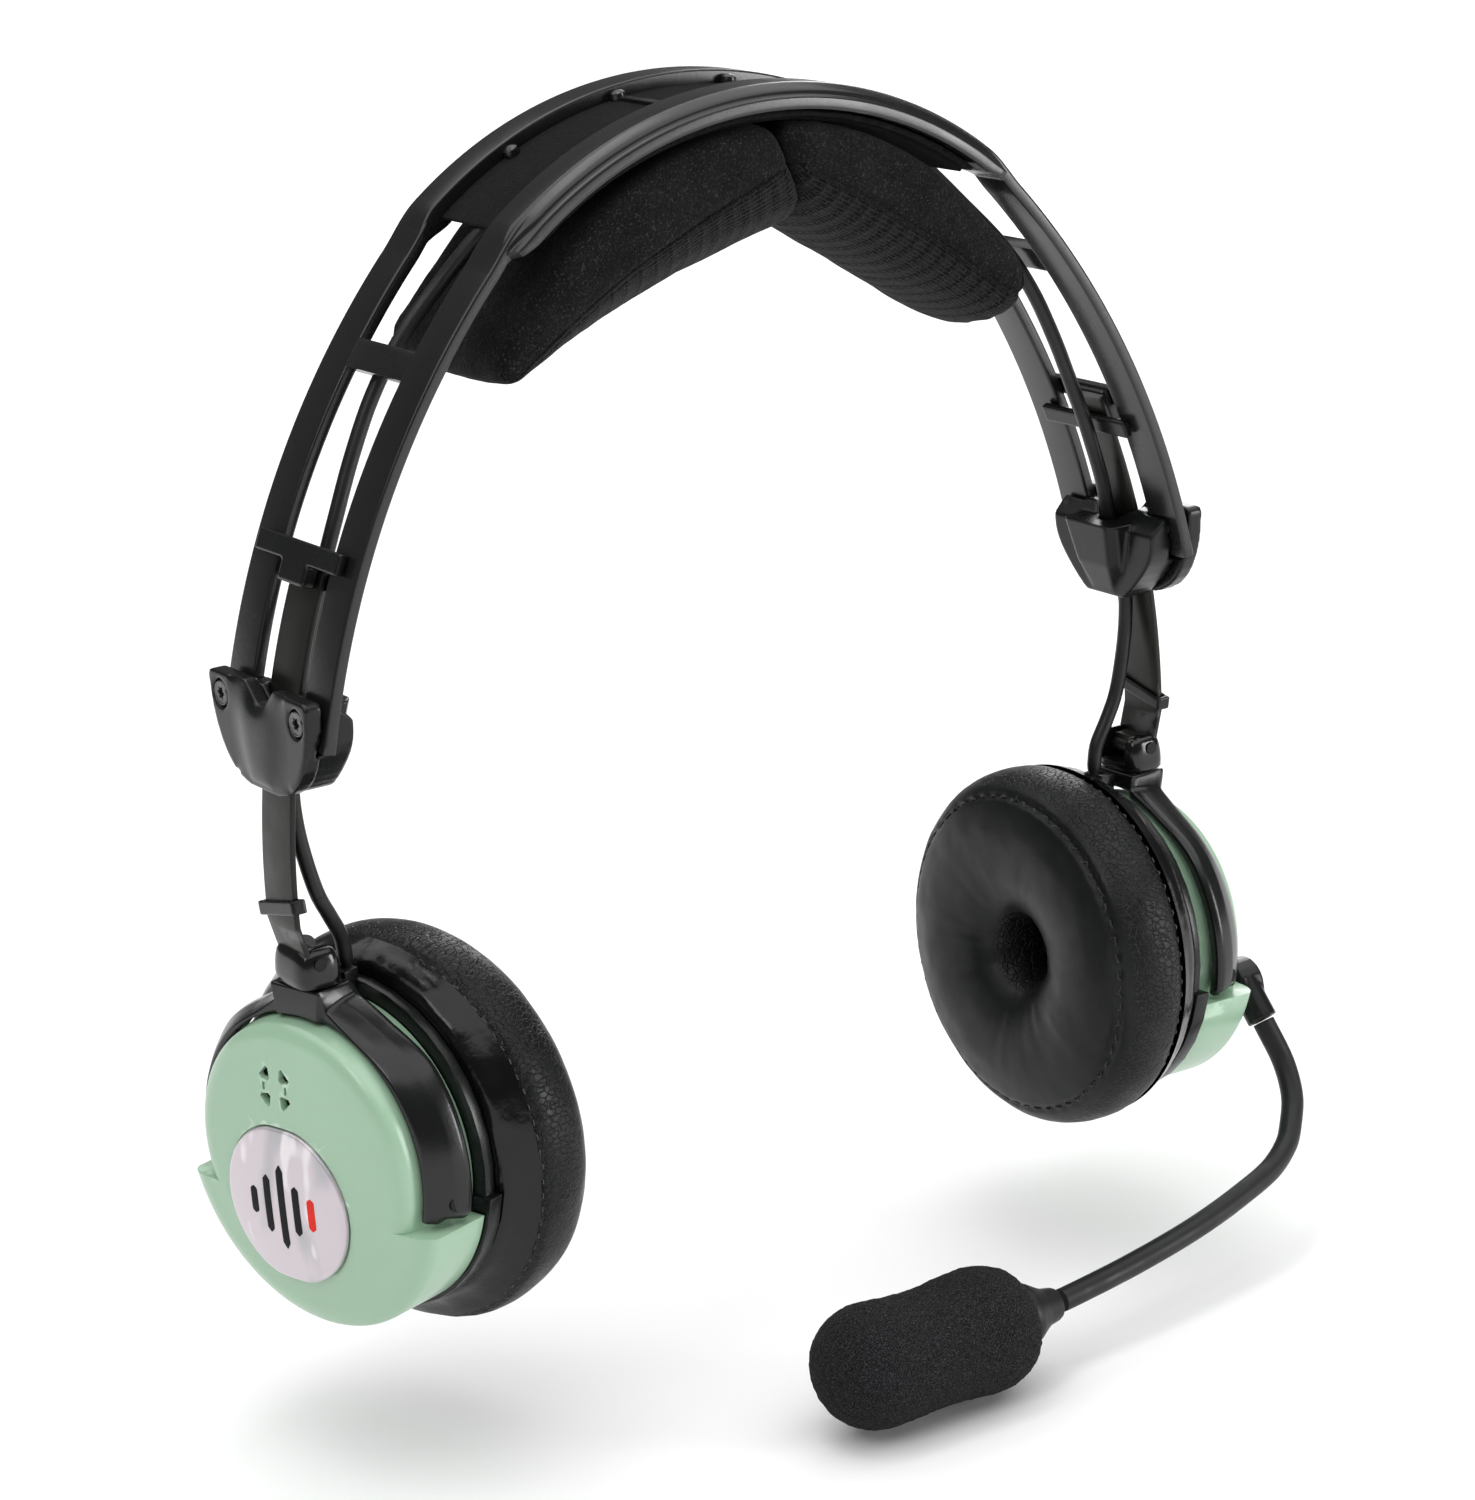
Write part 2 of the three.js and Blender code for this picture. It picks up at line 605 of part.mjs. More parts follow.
// Rear shell of the cup: a flange with a fin beside the cap's ledge, and the cable inlet on top
function earShell() {
  const flange = turnedRing([[3.6, 14], [5.7, 14], [5.7, 30.5], [3.6, 30.5]], 36);
  const fin = turnedRing([[3.6, 28], [6.6, 28], [6.6, 32.4], [3.6, 32.4]], 36);
  const low = common(fin, box(0, 10, -40, 40, -40, ledgeTop + 3));
  const inlet = box(inletOffset - 1.6, inletOffset + 1.6, -2.6, 2.6, 27, inletTop);
  const bore = rodZ(cableRadius - 0.4, 31, 36, inletOffset, 0);
  const clear = turned([[5.75, 0], [5.75, capRadius + 0.9], [8, capRadius + 0.9], [8, 0]], 36);
  const lowClear = common(
    turned([[6.65, 0], [6.65, 40], [8, 40], [8, 0]], 12), box(0, 10, -40, 40, -40, 0));
  return cut(join(flange, low, inlet), clear, lowClear, bore);
}

// A turned cap profile: a domed face that rounds over into the side wall
function capProfile(radius, base, face, round) {
  const profile = [[base, 0], [base, radius]];
  for (let i = 0; i <= 3; i += 1) {
    const angle = (Math.PI / 2) * (i / 3);
    const offset = face - round * (0.825 - 0.6 * Math.sin(angle));
    profile.push([offset, radius - round * (1 - Math.cos(angle))]);
  }
  profile.push([face - 0.25, (radius - round) * 0.5], [face, 0]);
  return profile;
}

function badgeOutline(radius) {
  const shape = new THREE.Shape();
  const flat = rad(64);
  shape.absarc(0, 0, radius, -flat, flat, false);
  shape.absarc(0, 0, radius, Math.PI - flat, Math.PI + flat, false);
  return shape;
}

// One arrow-shaped vent slot, turned about the vent's centre
function ventSlot(turn) {
  const shape = new THREE.Shape();
  shape.moveTo(-0.5, ventRadius - 1.5);
  shape.lineTo(0.5, ventRadius - 1.5);
  shape.lineTo(1.3, ventRadius + 0.4);
  shape.lineTo(-1.3, ventRadius + 0.4);
  return slabX(shape, 10, 30).rotateX(turn);
}

const ventArc = (turn) => box(10, 30, -2, 2, ventRadius - 1, ventRadius - 0.3).rotateX(turn);

// The sage cap: a hollow drum with a thick ledge round its lower half
function earCap(badgeY, ventY) {
  const drum = turned(capProfile(capRadius, capBase, capFace, 5), 36);
  const ledgeSolid = turned(capProfile(ledgeRadius, ledgeBase, capFace - 1.2, 5), 36);
  const ledge = common(ledgeSolid, box(0, 30, -40, 40, -40, ledgeTop));
  const hollow = turned(capProfile(capRadius - capWall, capBase - 1, capFace - 2, 4), 24);
  const recess = slabX(badgeOutline(badgeRadius + gap), capFace - 0.9, 30, 8);
  recess.translate(0, badgeY, badgeCentre.z);
  const vents = [45, 135, 225, 315].map((turn) => ventSlot(rad(turn)).translate(0, ventY, ventCentre.z));
  const arcs = [90, 270].map((turn) => ventArc(rad(turn)).translate(0, ventY, ventCentre.z));
  const pins = rodY(tiltPinRadius + gap, -40, 40, tiltPivot.offset, tiltPivot.z);
  return cut(join(drum, ledge), hollow, recess, ...vents, ...arcs, pins);
}

function capBadge(badgeY) {
  const plate = slabX(badgeOutline(badgeRadius), capFace - 0.6, capFace + 0.5, 8);
  return plate.translate(0, badgeY, badgeCentre.z);
}

const circuitBoard = () => turned([[12, 0], [12, 13.5], [13.2, 13.5], [13.2, 0]], 20);

// ---- Crossover cable -------------------------------------------------------------------------------
// Route of the left half, from the cup's inlet to the crown
function tailRoute(yaw) {
  const inletX = swivelX - (swivelOffset - inletOffset) * Math.cos(rad(yaw));
  const inletY = -(swivelOffset - inletOffset) * Math.sin(rad(yaw));
  return [
    v3(inletX, inletY, 34.4), v3(inletX + 0.7, inletY * 0.8, 38),
    v3(86.9, inletY * 0.3, 43), v3(89.2, 0, 47),
  ];
}

const armRoute = [
  v3(89.4, 0, 47.7), v3(91.2, 0, 55), v3(92.3, 0, 62),
  onSide(4.2, 0, 68), onSide(4.2, 0, 76), onSide(4.6, 0, 84),
  onSide(5.2, -1.5, 92), onSide(6.3, -3.5, 100), onSide(6.3, -4, 106), onSide(6, -4, 112),
];
const bandRoute = [
  onSide(6, -4, 112.5), onSide(5.4, -4.6, 122), onSide(4.7, -5, 132),
  onSide(4.7, -5, 141), onSide(5.2, -4, 149),
];

function crossoverCable() {
  const angles = [38, 28, 18, 9, 0, -9, -18, -28, -38];
  const crown = angles.map((angle) => onCrown(4.7 + crownSag(angle), 0, angle));
  const mirrored = bandRoute.map((p) => v3(-p.x, -p.y, p.z)).reverse();
  return tube([...bandRoute, ...crown, ...mirrored], cableRadius, 36, 6);
}

// ---- Microphone boom -------------------------------------------------------------------------------
const gooseneckBase = [
  v3(102.9, -26.6, -17.1), v3(104.2, -31, -25), v3(102.9, -34.8, -30.8), v3(99.4, -38.1, -35),
];
const gooseneckFront = [
  v3(98.9, -38.5, -35.5), v3(97.2, -39.7, -37), v3(91, -42.5, -39.7), v3(80, -45.5, -41.8),
  v3(66, -48.6, -43.6), v3(48, -51.4, -45.2), v3(31.3, -53.3, -46.2),
];
const micAxis = { x: -1.6, y: -53.6, z: -46.4 };

function boomHub() {
  const x0 = swivelX - swivelOffset + boomPivot.offset;
  const disc = rodX(hubRadius, x0, x0 + hubLength, boomPivot.y, boomPivot.z, 20);
  const sleeve = tube([v3(102.1, -21.5, -10), v3(102.9, -26.4, -16.8)], 3.1, 1, 12);
  return cut(join(disc, sleeve), tube([gooseneckBase[0], gooseneckBase[1]], 2.5, 1));
}

function micScreen() {
  const half = screenLength / 2;
  const profile = [[-half, 0]];
  for (let i = 1; i <= 4; i += 1) {
    const angle = (Math.PI / 2) * (i / 4);
    profile.push([-half + screenRadius * (1 - Math.cos(angle)), screenRadius * Math.sin(angle)]);
  }
  profile.push([0, screenRadius - 0.6]);
  for (let i = 0; i <= 3; i += 1) {
    const angle = (Math.PI / 2) * (1 - i / 4.2);
    profile.push([half - 9 * (1 - Math.cos(angle)), screenRadius * Math.sin(angle)]);
  }
  profile.push([half, 4.4], [half - 30, 4.4], [half - 30, 0]);
  return turned(profile, 18).translate(micAxis.x, micAxis.y, micAxis.z);
}

const micCapsule = () => turned([[-6.5, 0], [-6.5, 4], [18, 4], [18, 0]], 14)
  .translate(micAxis.x, micAxis.y, micAxis.z);

const micCollar = () => turned([[18.4, 0], [18.4, 4], [26.5, 4], [32.3, 3], [32.3, 0]], 16)
  .translate(micAxis.x, micAxis.y, micAxis.z);

// ---- Assembly --------------------------------------------------------------------------------------
function piece(name, geometry, material) {
  const mesh = new THREE.Mesh(geometry, material());
  mesh.name = name;
  return mesh;
}

function group(children, place = [0, 0, 0], turnY = 0, turnZ = 0) {
  const result = new THREE.Group();
  result.position.set(...place);
  result.rotation.set(0, turnY, turnZ);
  result.add(...children);
  return result;
}

// Pieces of one cup, in the cup's frame; badge and vents sit towards the rear
function cupPieces(side, rear) {
  return [
    piece(`ear_cushion_${side}`, earCushion(cushionSwell[side]), leather),
    piece(`cushion_skirt_${side}`, cushionSkirt(), glossBlack),
    piece(`driver_cover_${side}`, driverCover(), fabric),
    piece(`speaker_driver_${side}`, speakerDriver(), steel),
    piece(`ear_shell_${side}`, earShell(), blackPlastic),
    piece(`circuit_board_${side}`, circuitBoard(), boardGreen),
    piece(`ear_cap_${side}`, earCap(rear * badgeCentre.rear, rear * ventCentre.rear), sagePlastic),
    piece(`cap_badge_${side}`, capBadge(rear * badgeCentre.rear), silver),
  ];
}

function yokeAssembly(side, rear, yaw) {
  const cup = group(cupPieces(side, rear), [-tiltPivot.offset, 0, -tiltPivot.z]);
  const tilting = group([cup], [tiltPivot.offset, 0, tiltPivot.z], rad(cupTilt));
  const yokePieces = [
    piece(`yoke_${side}`, yoke(), blackPlastic),
    piece(`tilt_pin_rear_${side}`, tiltPin(rear), steel),
    piece(`tilt_pin_front_${side}`, tiltPin(-rear), steel),
  ];
  const inYoke = group([...yokePieces, tilting], [-swivelOffset, 0, 0]);
  return group([inYoke], [swivelX, 0, 0], 0, rad(yaw));
}

function sidePieces(side, rear) {
  return [
    piece(`clamp_outer_${side}`, clampOuter(armRoute), blackPlastic),
    piece(`clamp_inner_${side}`, clampInner(armRoute), blackPlastic),
    piece(`clamp_screw_rear_${side}`, clampScrew(rear), steel),
    piece(`clamp_screw_front_${side}`, clampScrew(-rear), steel),
    piece(`arm_strip_${side}`, armStrip(), paintedSteel),
    piece(`arm_foot_${side}`, armFoot(), paintedSteel),
    piece(`arm_keeper_${side}`, armKeeper(), blackPlastic),
    piece(`slide_clip_outer_${side}`, clipOuter(), blackPlastic),
    piece(`slide_clip_inner_${side}`, clipInner(), blackPlastic),
    piece(`knuckle_${side}`, knuckle(), glossBlack),
    piece(`fold_pin_${side}`, foldPin(), steel),
    piece(`cable_arm_${side}`, tube(armRoute, cableRadius, 12, 6), rubber),
  ];
}

function boomPieces() {
  return [
    piece('boom_hub', boomHub(), blackPlastic),
    piece('gooseneck_base', tube(gooseneckBase, gooseneckRadius, 4), rubber),
    piece('gooseneck_front', tube(gooseneckFront, gooseneckRadius, 12), rubber),
    piece('mic_collar', micCollar(), rubber),
    piece('mic_capsule', micCapsule(), steel),
    piece('mic_windscreen', micScreen(), foam),
  ];
}

const headset = new THREE.Group();
headset.add(
  piece('headband_frame', headbandFrame(), blackPlastic),
  piece('hook_strip_rear', hookStrip(1), fabric),
  piece('hook_strip_front', hookStrip(-1), fabric),
  piece('head_pad_left', padLobe(1, padBulge.cornerLeft), fabric),
  piece('head_pad_right', padLobe(-1, padBulge.cornerRight).rotateZ(Math.PI), fabric),
  piece('crossover_cable', crossoverCable(), rubber),
  group([...sidePieces('left', 1), yokeAssembly('left', 1, leftYaw)]),
  group([...sidePieces('right', -1), yokeAssembly('right', -1, rightYaw)], [0, 0, 0], 0, Math.PI),
  piece('cable_tail_left', tube(tailRoute(leftYaw), cableRadius, 4, 6), rubber),
  piece('cable_tail_right', tube(tailRoute(rightYaw), cableRadius, 4, 6).rotateZ(Math.PI), rubber),
  ...boomPieces(),
);

export default headset;
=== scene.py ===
"""On-ear aviation headset: looks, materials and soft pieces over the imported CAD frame.

Lengths in the code are millimetres unless a name says otherwise; objects are made in metres.
Each side is described as the left one (+X outward) and mirrored by half a turn for the right.
"""

import math
from types import SimpleNamespace

import bmesh
import bpy
import numpy as np
from mathutils import Matrix, Vector, noise
from mathutils.bvhtree import BVHTree


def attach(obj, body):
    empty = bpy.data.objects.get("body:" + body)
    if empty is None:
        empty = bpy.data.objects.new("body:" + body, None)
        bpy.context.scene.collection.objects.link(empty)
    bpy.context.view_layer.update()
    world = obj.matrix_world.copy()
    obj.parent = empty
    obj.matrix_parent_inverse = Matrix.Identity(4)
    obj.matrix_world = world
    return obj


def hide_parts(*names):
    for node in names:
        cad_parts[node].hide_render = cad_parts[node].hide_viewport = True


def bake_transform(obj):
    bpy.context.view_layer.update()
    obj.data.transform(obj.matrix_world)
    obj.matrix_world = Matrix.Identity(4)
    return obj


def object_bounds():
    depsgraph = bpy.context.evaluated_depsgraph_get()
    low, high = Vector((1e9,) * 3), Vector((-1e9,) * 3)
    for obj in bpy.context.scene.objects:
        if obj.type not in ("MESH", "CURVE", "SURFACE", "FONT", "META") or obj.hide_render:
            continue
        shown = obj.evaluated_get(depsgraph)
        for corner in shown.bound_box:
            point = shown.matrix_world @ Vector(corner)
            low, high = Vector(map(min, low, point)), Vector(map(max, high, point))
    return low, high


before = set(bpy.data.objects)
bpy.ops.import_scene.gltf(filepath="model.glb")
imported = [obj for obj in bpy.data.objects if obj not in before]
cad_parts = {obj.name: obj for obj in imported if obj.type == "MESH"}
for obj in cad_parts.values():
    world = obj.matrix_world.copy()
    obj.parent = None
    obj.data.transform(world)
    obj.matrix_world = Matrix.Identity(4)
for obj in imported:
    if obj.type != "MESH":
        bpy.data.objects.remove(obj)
CAD_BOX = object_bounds()

MM = 0.001
SIDES = {"left": 1, "right": -1}

# ---- Dimensions shared with the CAD --------------------------------------------------------------
CROWN_TOP = 178.9
SIDE_RADIUS = 158.0
SIDE_CENTRE = (-60.0, 47.5)
RAIL_IN, RAIL_OUT, RAIL_THICK = 9.25, 18.25, 2.3
RAIL_END_Z = 78.0
UPPER_HALF_ANGLE = 40.0
UPPER_SAG = -0.9
CABLE_RADIUS = 1.4
NECK_RADIUS = 2.2
SWIVEL_X = 93.0
SWIVEL_OFFSET = 16.0
INLET_OFFSET = 6.2
TILT_PIVOT = (13.3, 0.0, -3.5)
TILT = math.radians(2)
YAW = {"left": math.radians(1.7), "right": math.radians(15.4)}
SWELL = {"left": 1.04, "right": 1.12}
GIRTH = {"left": 0.995, "right": 1.045}
DROOP = {"left": 0.4, "right": 2.0}
MIC_AXIS = (-1.6, -53.6, -46.4)
SCREW_Y, SCREW_Z = 13.6, 83.0
FLOOR_HALF, FLOOR_DROP = 8.0, 0.002    # metres

RISE = CROWN_TOP - SIDE_CENTRE[1]
CROWN_RADIUS = (SIDE_RADIUS ** 2 - RISE ** 2 - SIDE_CENTRE[0] ** 2) / (2 * (SIDE_RADIUS - RISE))
CROWN_CENTRE_Z = CROWN_TOP - CROWN_RADIUS
JOIN_ANGLE = math.atan2(CROWN_CENTRE_Z - SIDE_CENTRE[1], -SIDE_CENTRE[0])


# ---- Camera, light and floor ---------------------------------------------------------------------
def make_camera():
    data = bpy.data.cameras.new("camera")
    data.lens = 101.18
    data.sensor_width = 36
    data.clip_end = 30
    camera = bpy.data.objects.new("camera", data)
    forward = Vector((0.5260, 0.8015, -0.2844)).normalized()
    right = Vector((0.8260, -0.5611, -0.0535)).normalized()
    up = right.cross(forward).normalized()
    right = forward.cross(up)
    turn = Matrix((right, up, -forward)).transposed().to_4x4()
    camera.matrix_world = Matrix.Translation(Vector((-410.2, -624.8, 276.7)) * MM) @ turn
    bpy.context.scene.collection.objects.link(camera)
    bpy.context.scene.camera = camera


def area_light(name, place, target, size, power, colour=(1, 1, 1)):
    data = bpy.data.lights.new(name, "AREA")
    data.shape = "RECTANGLE"
    data.size, data.size_y = size
    data.energy = power
    data.color = colour
    light = bpy.data.objects.new(name, data)
    light.location = place
    light.rotation_euler = (Vector(target) - Vector(place)).to_track_quat("-Z", "Y").to_euler()
    bpy.context.scene.collection.objects.link(light)


def make_studio():
    scene = bpy.context.scene
    scene.view_settings.view_transform = "Standard"
    world = bpy.data.worlds.new("studio")
    world.use_nodes = True
    world.node_tree.nodes["Background"].inputs["Color"].default_value = (1, 1, 1, 1)
    world.node_tree.nodes["Background"].inputs["Strength"].default_value = 0.13
    scene.world = world
    middle = (0, 0, 0.06)
    area_light("key", (-1.5, -0.7, 1.3), middle, (0.45, 0.7), 4.8)
    area_light("front", (1.15, -1.35, 0.3), middle, (0.4, 0.8), 13)
    area_light("top", (-0.1, 0.2, 1.9), middle, (1.1, 0.4), 4)
    area_light("rim", (1.2, 1.2, 0.7), middle, (0.4, 1.1), 6)
    sky = bpy.data.lights.new("sky", "SUN")
    sky.energy = 3.0
    sky.angle = math.radians(100)
    scene.collection.objects.link(bpy.data.objects.new("sky", sky))


def make_floor():
    mesh = bpy.data.meshes.new("floor")
    low = CAD_BOX[0][2] - FLOOR_DROP
    corners = [(x * FLOOR_HALF, y * FLOOR_HALF, low) for x, y in ((-1, -1), (1, -1), (1, 1), (-1, 1))]
    mesh.from_pydata(corners, [], [(0, 1, 2, 3)])
    floor = bpy.data.objects.new("floor", mesh)
    bpy.context.scene.collection.objects.link(floor)
    build = Shade("floor_paper", (0.92, 0.92, 0.92), 0.9)
    build.vary(4, 0.01)
    mesh.materials.append(build.material)


# ---- Materials -----------------------------------------------------------------------------------
class Shade:
    """A Principled material in object coordinates, built up layer by layer."""

    def __init__(self, name, colour, roughness, **sockets):
        self.material = bpy.data.materials.new(name)
        self.material.use_nodes = True
        self.tree = self.material.node_tree
        self.shader = self.tree.nodes["Principled BSDF"]
        self.colour = (*colour, 1)
        self.roughness = roughness
        self.shader.inputs["Base Color"].default_value = self.colour
        self.shader.inputs["Roughness"].default_value = roughness
        for socket, value in sockets.items():
            self.shader.inputs[socket.replace("_", " ")].default_value = value
        self.place = self.node("ShaderNodeTexCoord").outputs["Object"]
        self.colour_link = None
        self.normal_link = None

    def node(self, kind, **settings):
        made = self.tree.nodes.new(kind)
        for key, value in settings.items():
            setattr(made, key, value)
        return made

    def feed(self, source, socket):
        self.tree.links.new(source, socket)

    def stretched(self, scale):
        """Object coordinates scaled by a different amount along each axis."""
        mapping = self.node("ShaderNodeMapping")
        mapping.inputs["Scale"].default_value = scale
        self.feed(self.place, mapping.inputs["Vector"])
        return mapping.outputs["Vector"]

    def noise(self, scale, detail=3.0, roughness=0.55, distortion=0.0, place=None):
        made = self.node("ShaderNodeTexNoise")
        made.inputs["Scale"].default_value = scale
        made.inputs["Detail"].default_value = detail
        made.inputs["Roughness"].default_value = roughness
        made.inputs["Distortion"].default_value = distortion
        self.feed(place or self.place, made.inputs["Vector"])
        return made.outputs["Fac"]

    def cells(self, scale, feature="F1", place=None):
        made = self.node("ShaderNodeTexVoronoi", feature=feature)
        made.inputs["Scale"].default_value = scale
        self.feed(place or self.place, made.inputs["Vector"])
        return made.outputs["Distance"]

    def spread(self, value, low, high, to_low=0.0, to_high=1.0):
        made = self.node("ShaderNodeMapRange", interpolation_type="SMOOTHSTEP")
        for socket, number in zip(("From Min", "From Max", "To Min", "To Max"), (low, high, to_low, to_high)):
            made.inputs[socket].default_value = number
        self.feed(value, made.inputs["Value"])
        return made.outputs["Result"]

    def math(self, operation, a, b):
        made = self.node("ShaderNodeMath", operation=operation)
        for socket, value in zip(made.inputs, (a, b)):
            if isinstance(value, (int, float)):
                socket.default_value = value
            else:
                self.feed(value, socket)
        return made.outputs[0]

    def tint(self, factor, colour):
        """Mixes another colour over what is there, by a factor between 0 and 1."""
        mix = self.node("ShaderNodeMix", data_type="RGBA")
        self.feed(factor, mix.inputs["Factor"])
        if self.colour_link is None:
            mix.inputs[6].default_value = self.colour
        else:
            self.feed(self.colour_link, mix.inputs[6])
        mix.inputs[7].default_value = (*colour, 1)
        self.colour_link = mix.outputs[2]
        self.feed(self.colour_link, self.shader.inputs["Base Color"])
        return self

    def vary(self, scale, amount, place=None):
        """Slow light and dark patches, and a little change of gloss with them."""
        base = np.array(self.colour[:3])
        cloud = self.noise(scale, 4, place=place)
        self.tint(self.spread(cloud, 0.35, 0.65), tuple(np.clip(base * (1 + amount), 0, 1)))
        dull, shiny = (self.roughness * (1 + sign * amount / 2) for sign in (1, -1))
        rough = self.spread(self.noise(scale * 2.3, 3, place=place), 0.3, 0.7, shiny, min(1, dull))
        self.feed(rough, self.shader.inputs["Roughness"])
        return self

    def bump(self, height, depth, strength=1.0):
        """Adds relief; depth is in millimetres."""
        made = self.node("ShaderNodeBump")
        made.inputs["Strength"].default_value = strength
        made.inputs["Distance"].default_value = depth * MM
        self.feed(height, made.inputs["Height"])
        if self.normal_link is not None:
            self.feed(self.normal_link, made.inputs["Normal"])
        self.normal_link = made.outputs["Normal"]
        self.feed(self.normal_link, self.shader.inputs["Normal"])
        return self

    def edge_wear_and_highlight(self, colour, low=0.53, high=0.6):
        # Lightens sharp outer edges in patches: partly rubbed wear, partly a painted highlight along the
        # edges.
        edge = self.spread(self.node("ShaderNodeNewGeometry").outputs["Pointiness"], low, high)
        patchy = self.math("MULTIPLY", edge, self.spread(self.noise(240, 3), 0.4, 0.62))
        return self.tint(patchy, colour)


def moulded(name, colour, roughness, grain=0.02, specular=0.3):
    """Injection-moulded plastic: faint spark-eroded grain, slow colour change, and lighter edges that are
    partly rubbed wear, partly painted highlight.
    """
    build = Shade(name, colour, roughness, Specular_IOR_Level=specular)
    build.vary(38, 0.22)
    build.bump(build.noise(1400, 2), grain)
    build.bump(build.noise(110, 2), 0.05, 0.25)
    build.edge_wear_and_highlight(tuple(min(1, 2.2 * c + 0.012) for c in colour))
    return build.material


def painted(name, colour, roughness):
    """Painted spring steel: fine lengthwise scratches in a satin coat, and lighter edges that are partly
    rubbed wear, partly painted highlight.
    """
    build = Shade(name, colour, roughness, Metallic=0.2, Specular_IOR_Level=0.32)
    build.vary(60, 0.3)
    scratches = build.noise(1.0, 2, place=build.stretched((900, 900, 45)))
    build.bump(scratches, 0.02, 0.5)
    build.edge_wear_and_highlight((0.09, 0.09, 0.09))
    return build.material


def sage(name):
    """Glossy sage plastic under a thin clear coat, with paler edges that are partly rubbed wear, partly
    painted highlight.
    """
    build = Shade(name, (0.325, 0.5, 0.352), 0.3, Coat_Weight=0.3, Coat_Roughness=0.16)
    build.vary(30, 0.05)
    build.tint(build.spread(build.noise(2600, 2), 0.62, 0.75), (0.355, 0.57, 0.387))
    build.bump(build.noise(160, 2), 0.03, 0.25)
    build.edge_wear_and_highlight((0.52, 0.72, 0.55))
    return build.material


def leatherette(name, stretch, crackle=0.2, roughness=0.4):
    """Soft leatherette: fine crackle that shows only where the cover is stretched round the wall of the
    cushion, pores everywhere, and a slow change of sheen."""
    build = Shade(name, (0.0036, 0.0041, 0.0042), roughness, Specular_IOR_Level=0.28)
    build.vary(55, 0.3)
    place = build.stretched(stretch)
    shifted = build.node("ShaderNodeVectorMath", operation="ADD")
    build.feed(place, shifted.inputs[0])
    build.feed(build.noise(900, 3), shifted.inputs[1])
    edge = build.cells(1.0, "DISTANCE_TO_EDGE", shifted.outputs[0])
    split = build.node("ShaderNodeSeparateXYZ")
    build.feed(build.node("ShaderNodeNewGeometry").outputs["Normal"], split.inputs[0])
    wall = build.spread(build.math("ABSOLUTE", split.outputs["X"], 0), 0.72, 0.45)
    patches = build.spread(build.noise(75, 3), 0.25, 0.55, 0.5, 1.0)
    shown = build.math("MULTIPLY", wall, patches)
    crease = build.spread(edge, 0.0, 0.15)
    build.bump(build.math("MULTIPLY", crease, shown), crackle)
    build.bump(build.noise(2600, 3), 0.025)
    build.bump(build.noise(120, 3, distortion=0.4), 0.25, 0.3)
    # Painted shade: the crack lines are darkened in colour where the crackle shows.
    build.tint(build.math("MULTIPLY", build.spread(edge, 0.07, 0.0), shown), (0.0012, 0.0012, 0.0012))
    return build.material


def velour(name):
    """Short pile: dark between the fibres, with scattered lit tips."""
    build = Shade(name, (0.0032, 0.0032, 0.0036), 0.96, Specular_IOR_Level=0.12, Sheen_Weight=0.06,
                  Sheen_Roughness=0.4)
    build.shader.inputs["Sheen Tint"].default_value = (0.8, 0.8, 0.85, 1)
    build.vary(70, 0.5)
    pile = build.noise(1500, 4, 0.75)
    build.tint(build.spread(pile, 0.56, 0.72), (0.016, 0.016, 0.018))
    build.tint(build.spread(build.noise(2300, 3, 0.8), 0.55, 0.67), (0.045, 0.046, 0.048))
    build.bump(pile, 0.55)
    build.bump(build.noise(260, 3), 0.5, 0.5)
    return build.material


def knit(name):
    """Spacer-mesh knit: staggered rows of small eyelets between raised threads, with faint cross ribs.
    Its UV map is in millimetres: along the seam, and across the underside."""
    build = Shade(name, (0.016, 0.0165, 0.017), 0.88, Specular_IOR_Level=0.15, Sheen_Weight=0.05)
    spread_out = build.node("ShaderNodeUVMap").outputs["UV"]
    brick = build.node("ShaderNodeTexBrick", offset=0.5)
    for socket, value in (("Scale", 1.0), ("Mortar Size", 0.26), ("Mortar Smooth", 1.0), ("Brick Width", 2.3),
                          ("Row Height", 1.15)):
        brick.inputs[socket].default_value = value
    wander = build.node("ShaderNodeVectorMath", operation="ADD")
    build.feed(spread_out, wander.inputs[0])
    build.feed(build.noise(260, 2), wander.inputs[1])
    build.feed(wander.outputs[0], brick.inputs["Vector"])
    threads = brick.outputs["Fac"]
    split = build.node("ShaderNodeSeparateXYZ")
    build.feed(spread_out, split.inputs[0])
    ribs = build.math("SINE", build.math("MULTIPLY", split.outputs["X"], 2 * math.pi / 3.4), 0)
    # Painted shade in the eyelets: the holes between the threads are darkened in colour.
    build.tint(build.spread(build.math("SUBTRACT", 1.0, threads), 0.35, 0.95), (0.0012, 0.0012, 0.0013))
    build.tint(build.spread(ribs, 0.2, 1.0, 0.0, 0.35), (0.022, 0.022, 0.024))
    build.tint(build.spread(build.noise(2600, 3, 0.8), 0.6, 0.72), (0.045, 0.045, 0.05))
    build.bump(threads, 0.45)
    build.bump(ribs, 0.18)
    build.bump(build.noise(2400, 3), 0.12)
    return build.material


def hook_pile(name):
    """Coarse fibres of the hook-and-loop strips, lying along the band."""
    build = Shade(name, (0.0025, 0.0025, 0.003), 1.0, Specular_IOR_Level=0.1, Sheen_Weight=0.05)
    fibres = build.noise(1.0, 4, 0.8, place=build.stretched((2600, 900, 2600)))
    build.tint(build.spread(fibres, 0.57, 0.72), (0.035, 0.035, 0.037))
    build.bump(fibres, 0.8)
    return build.material


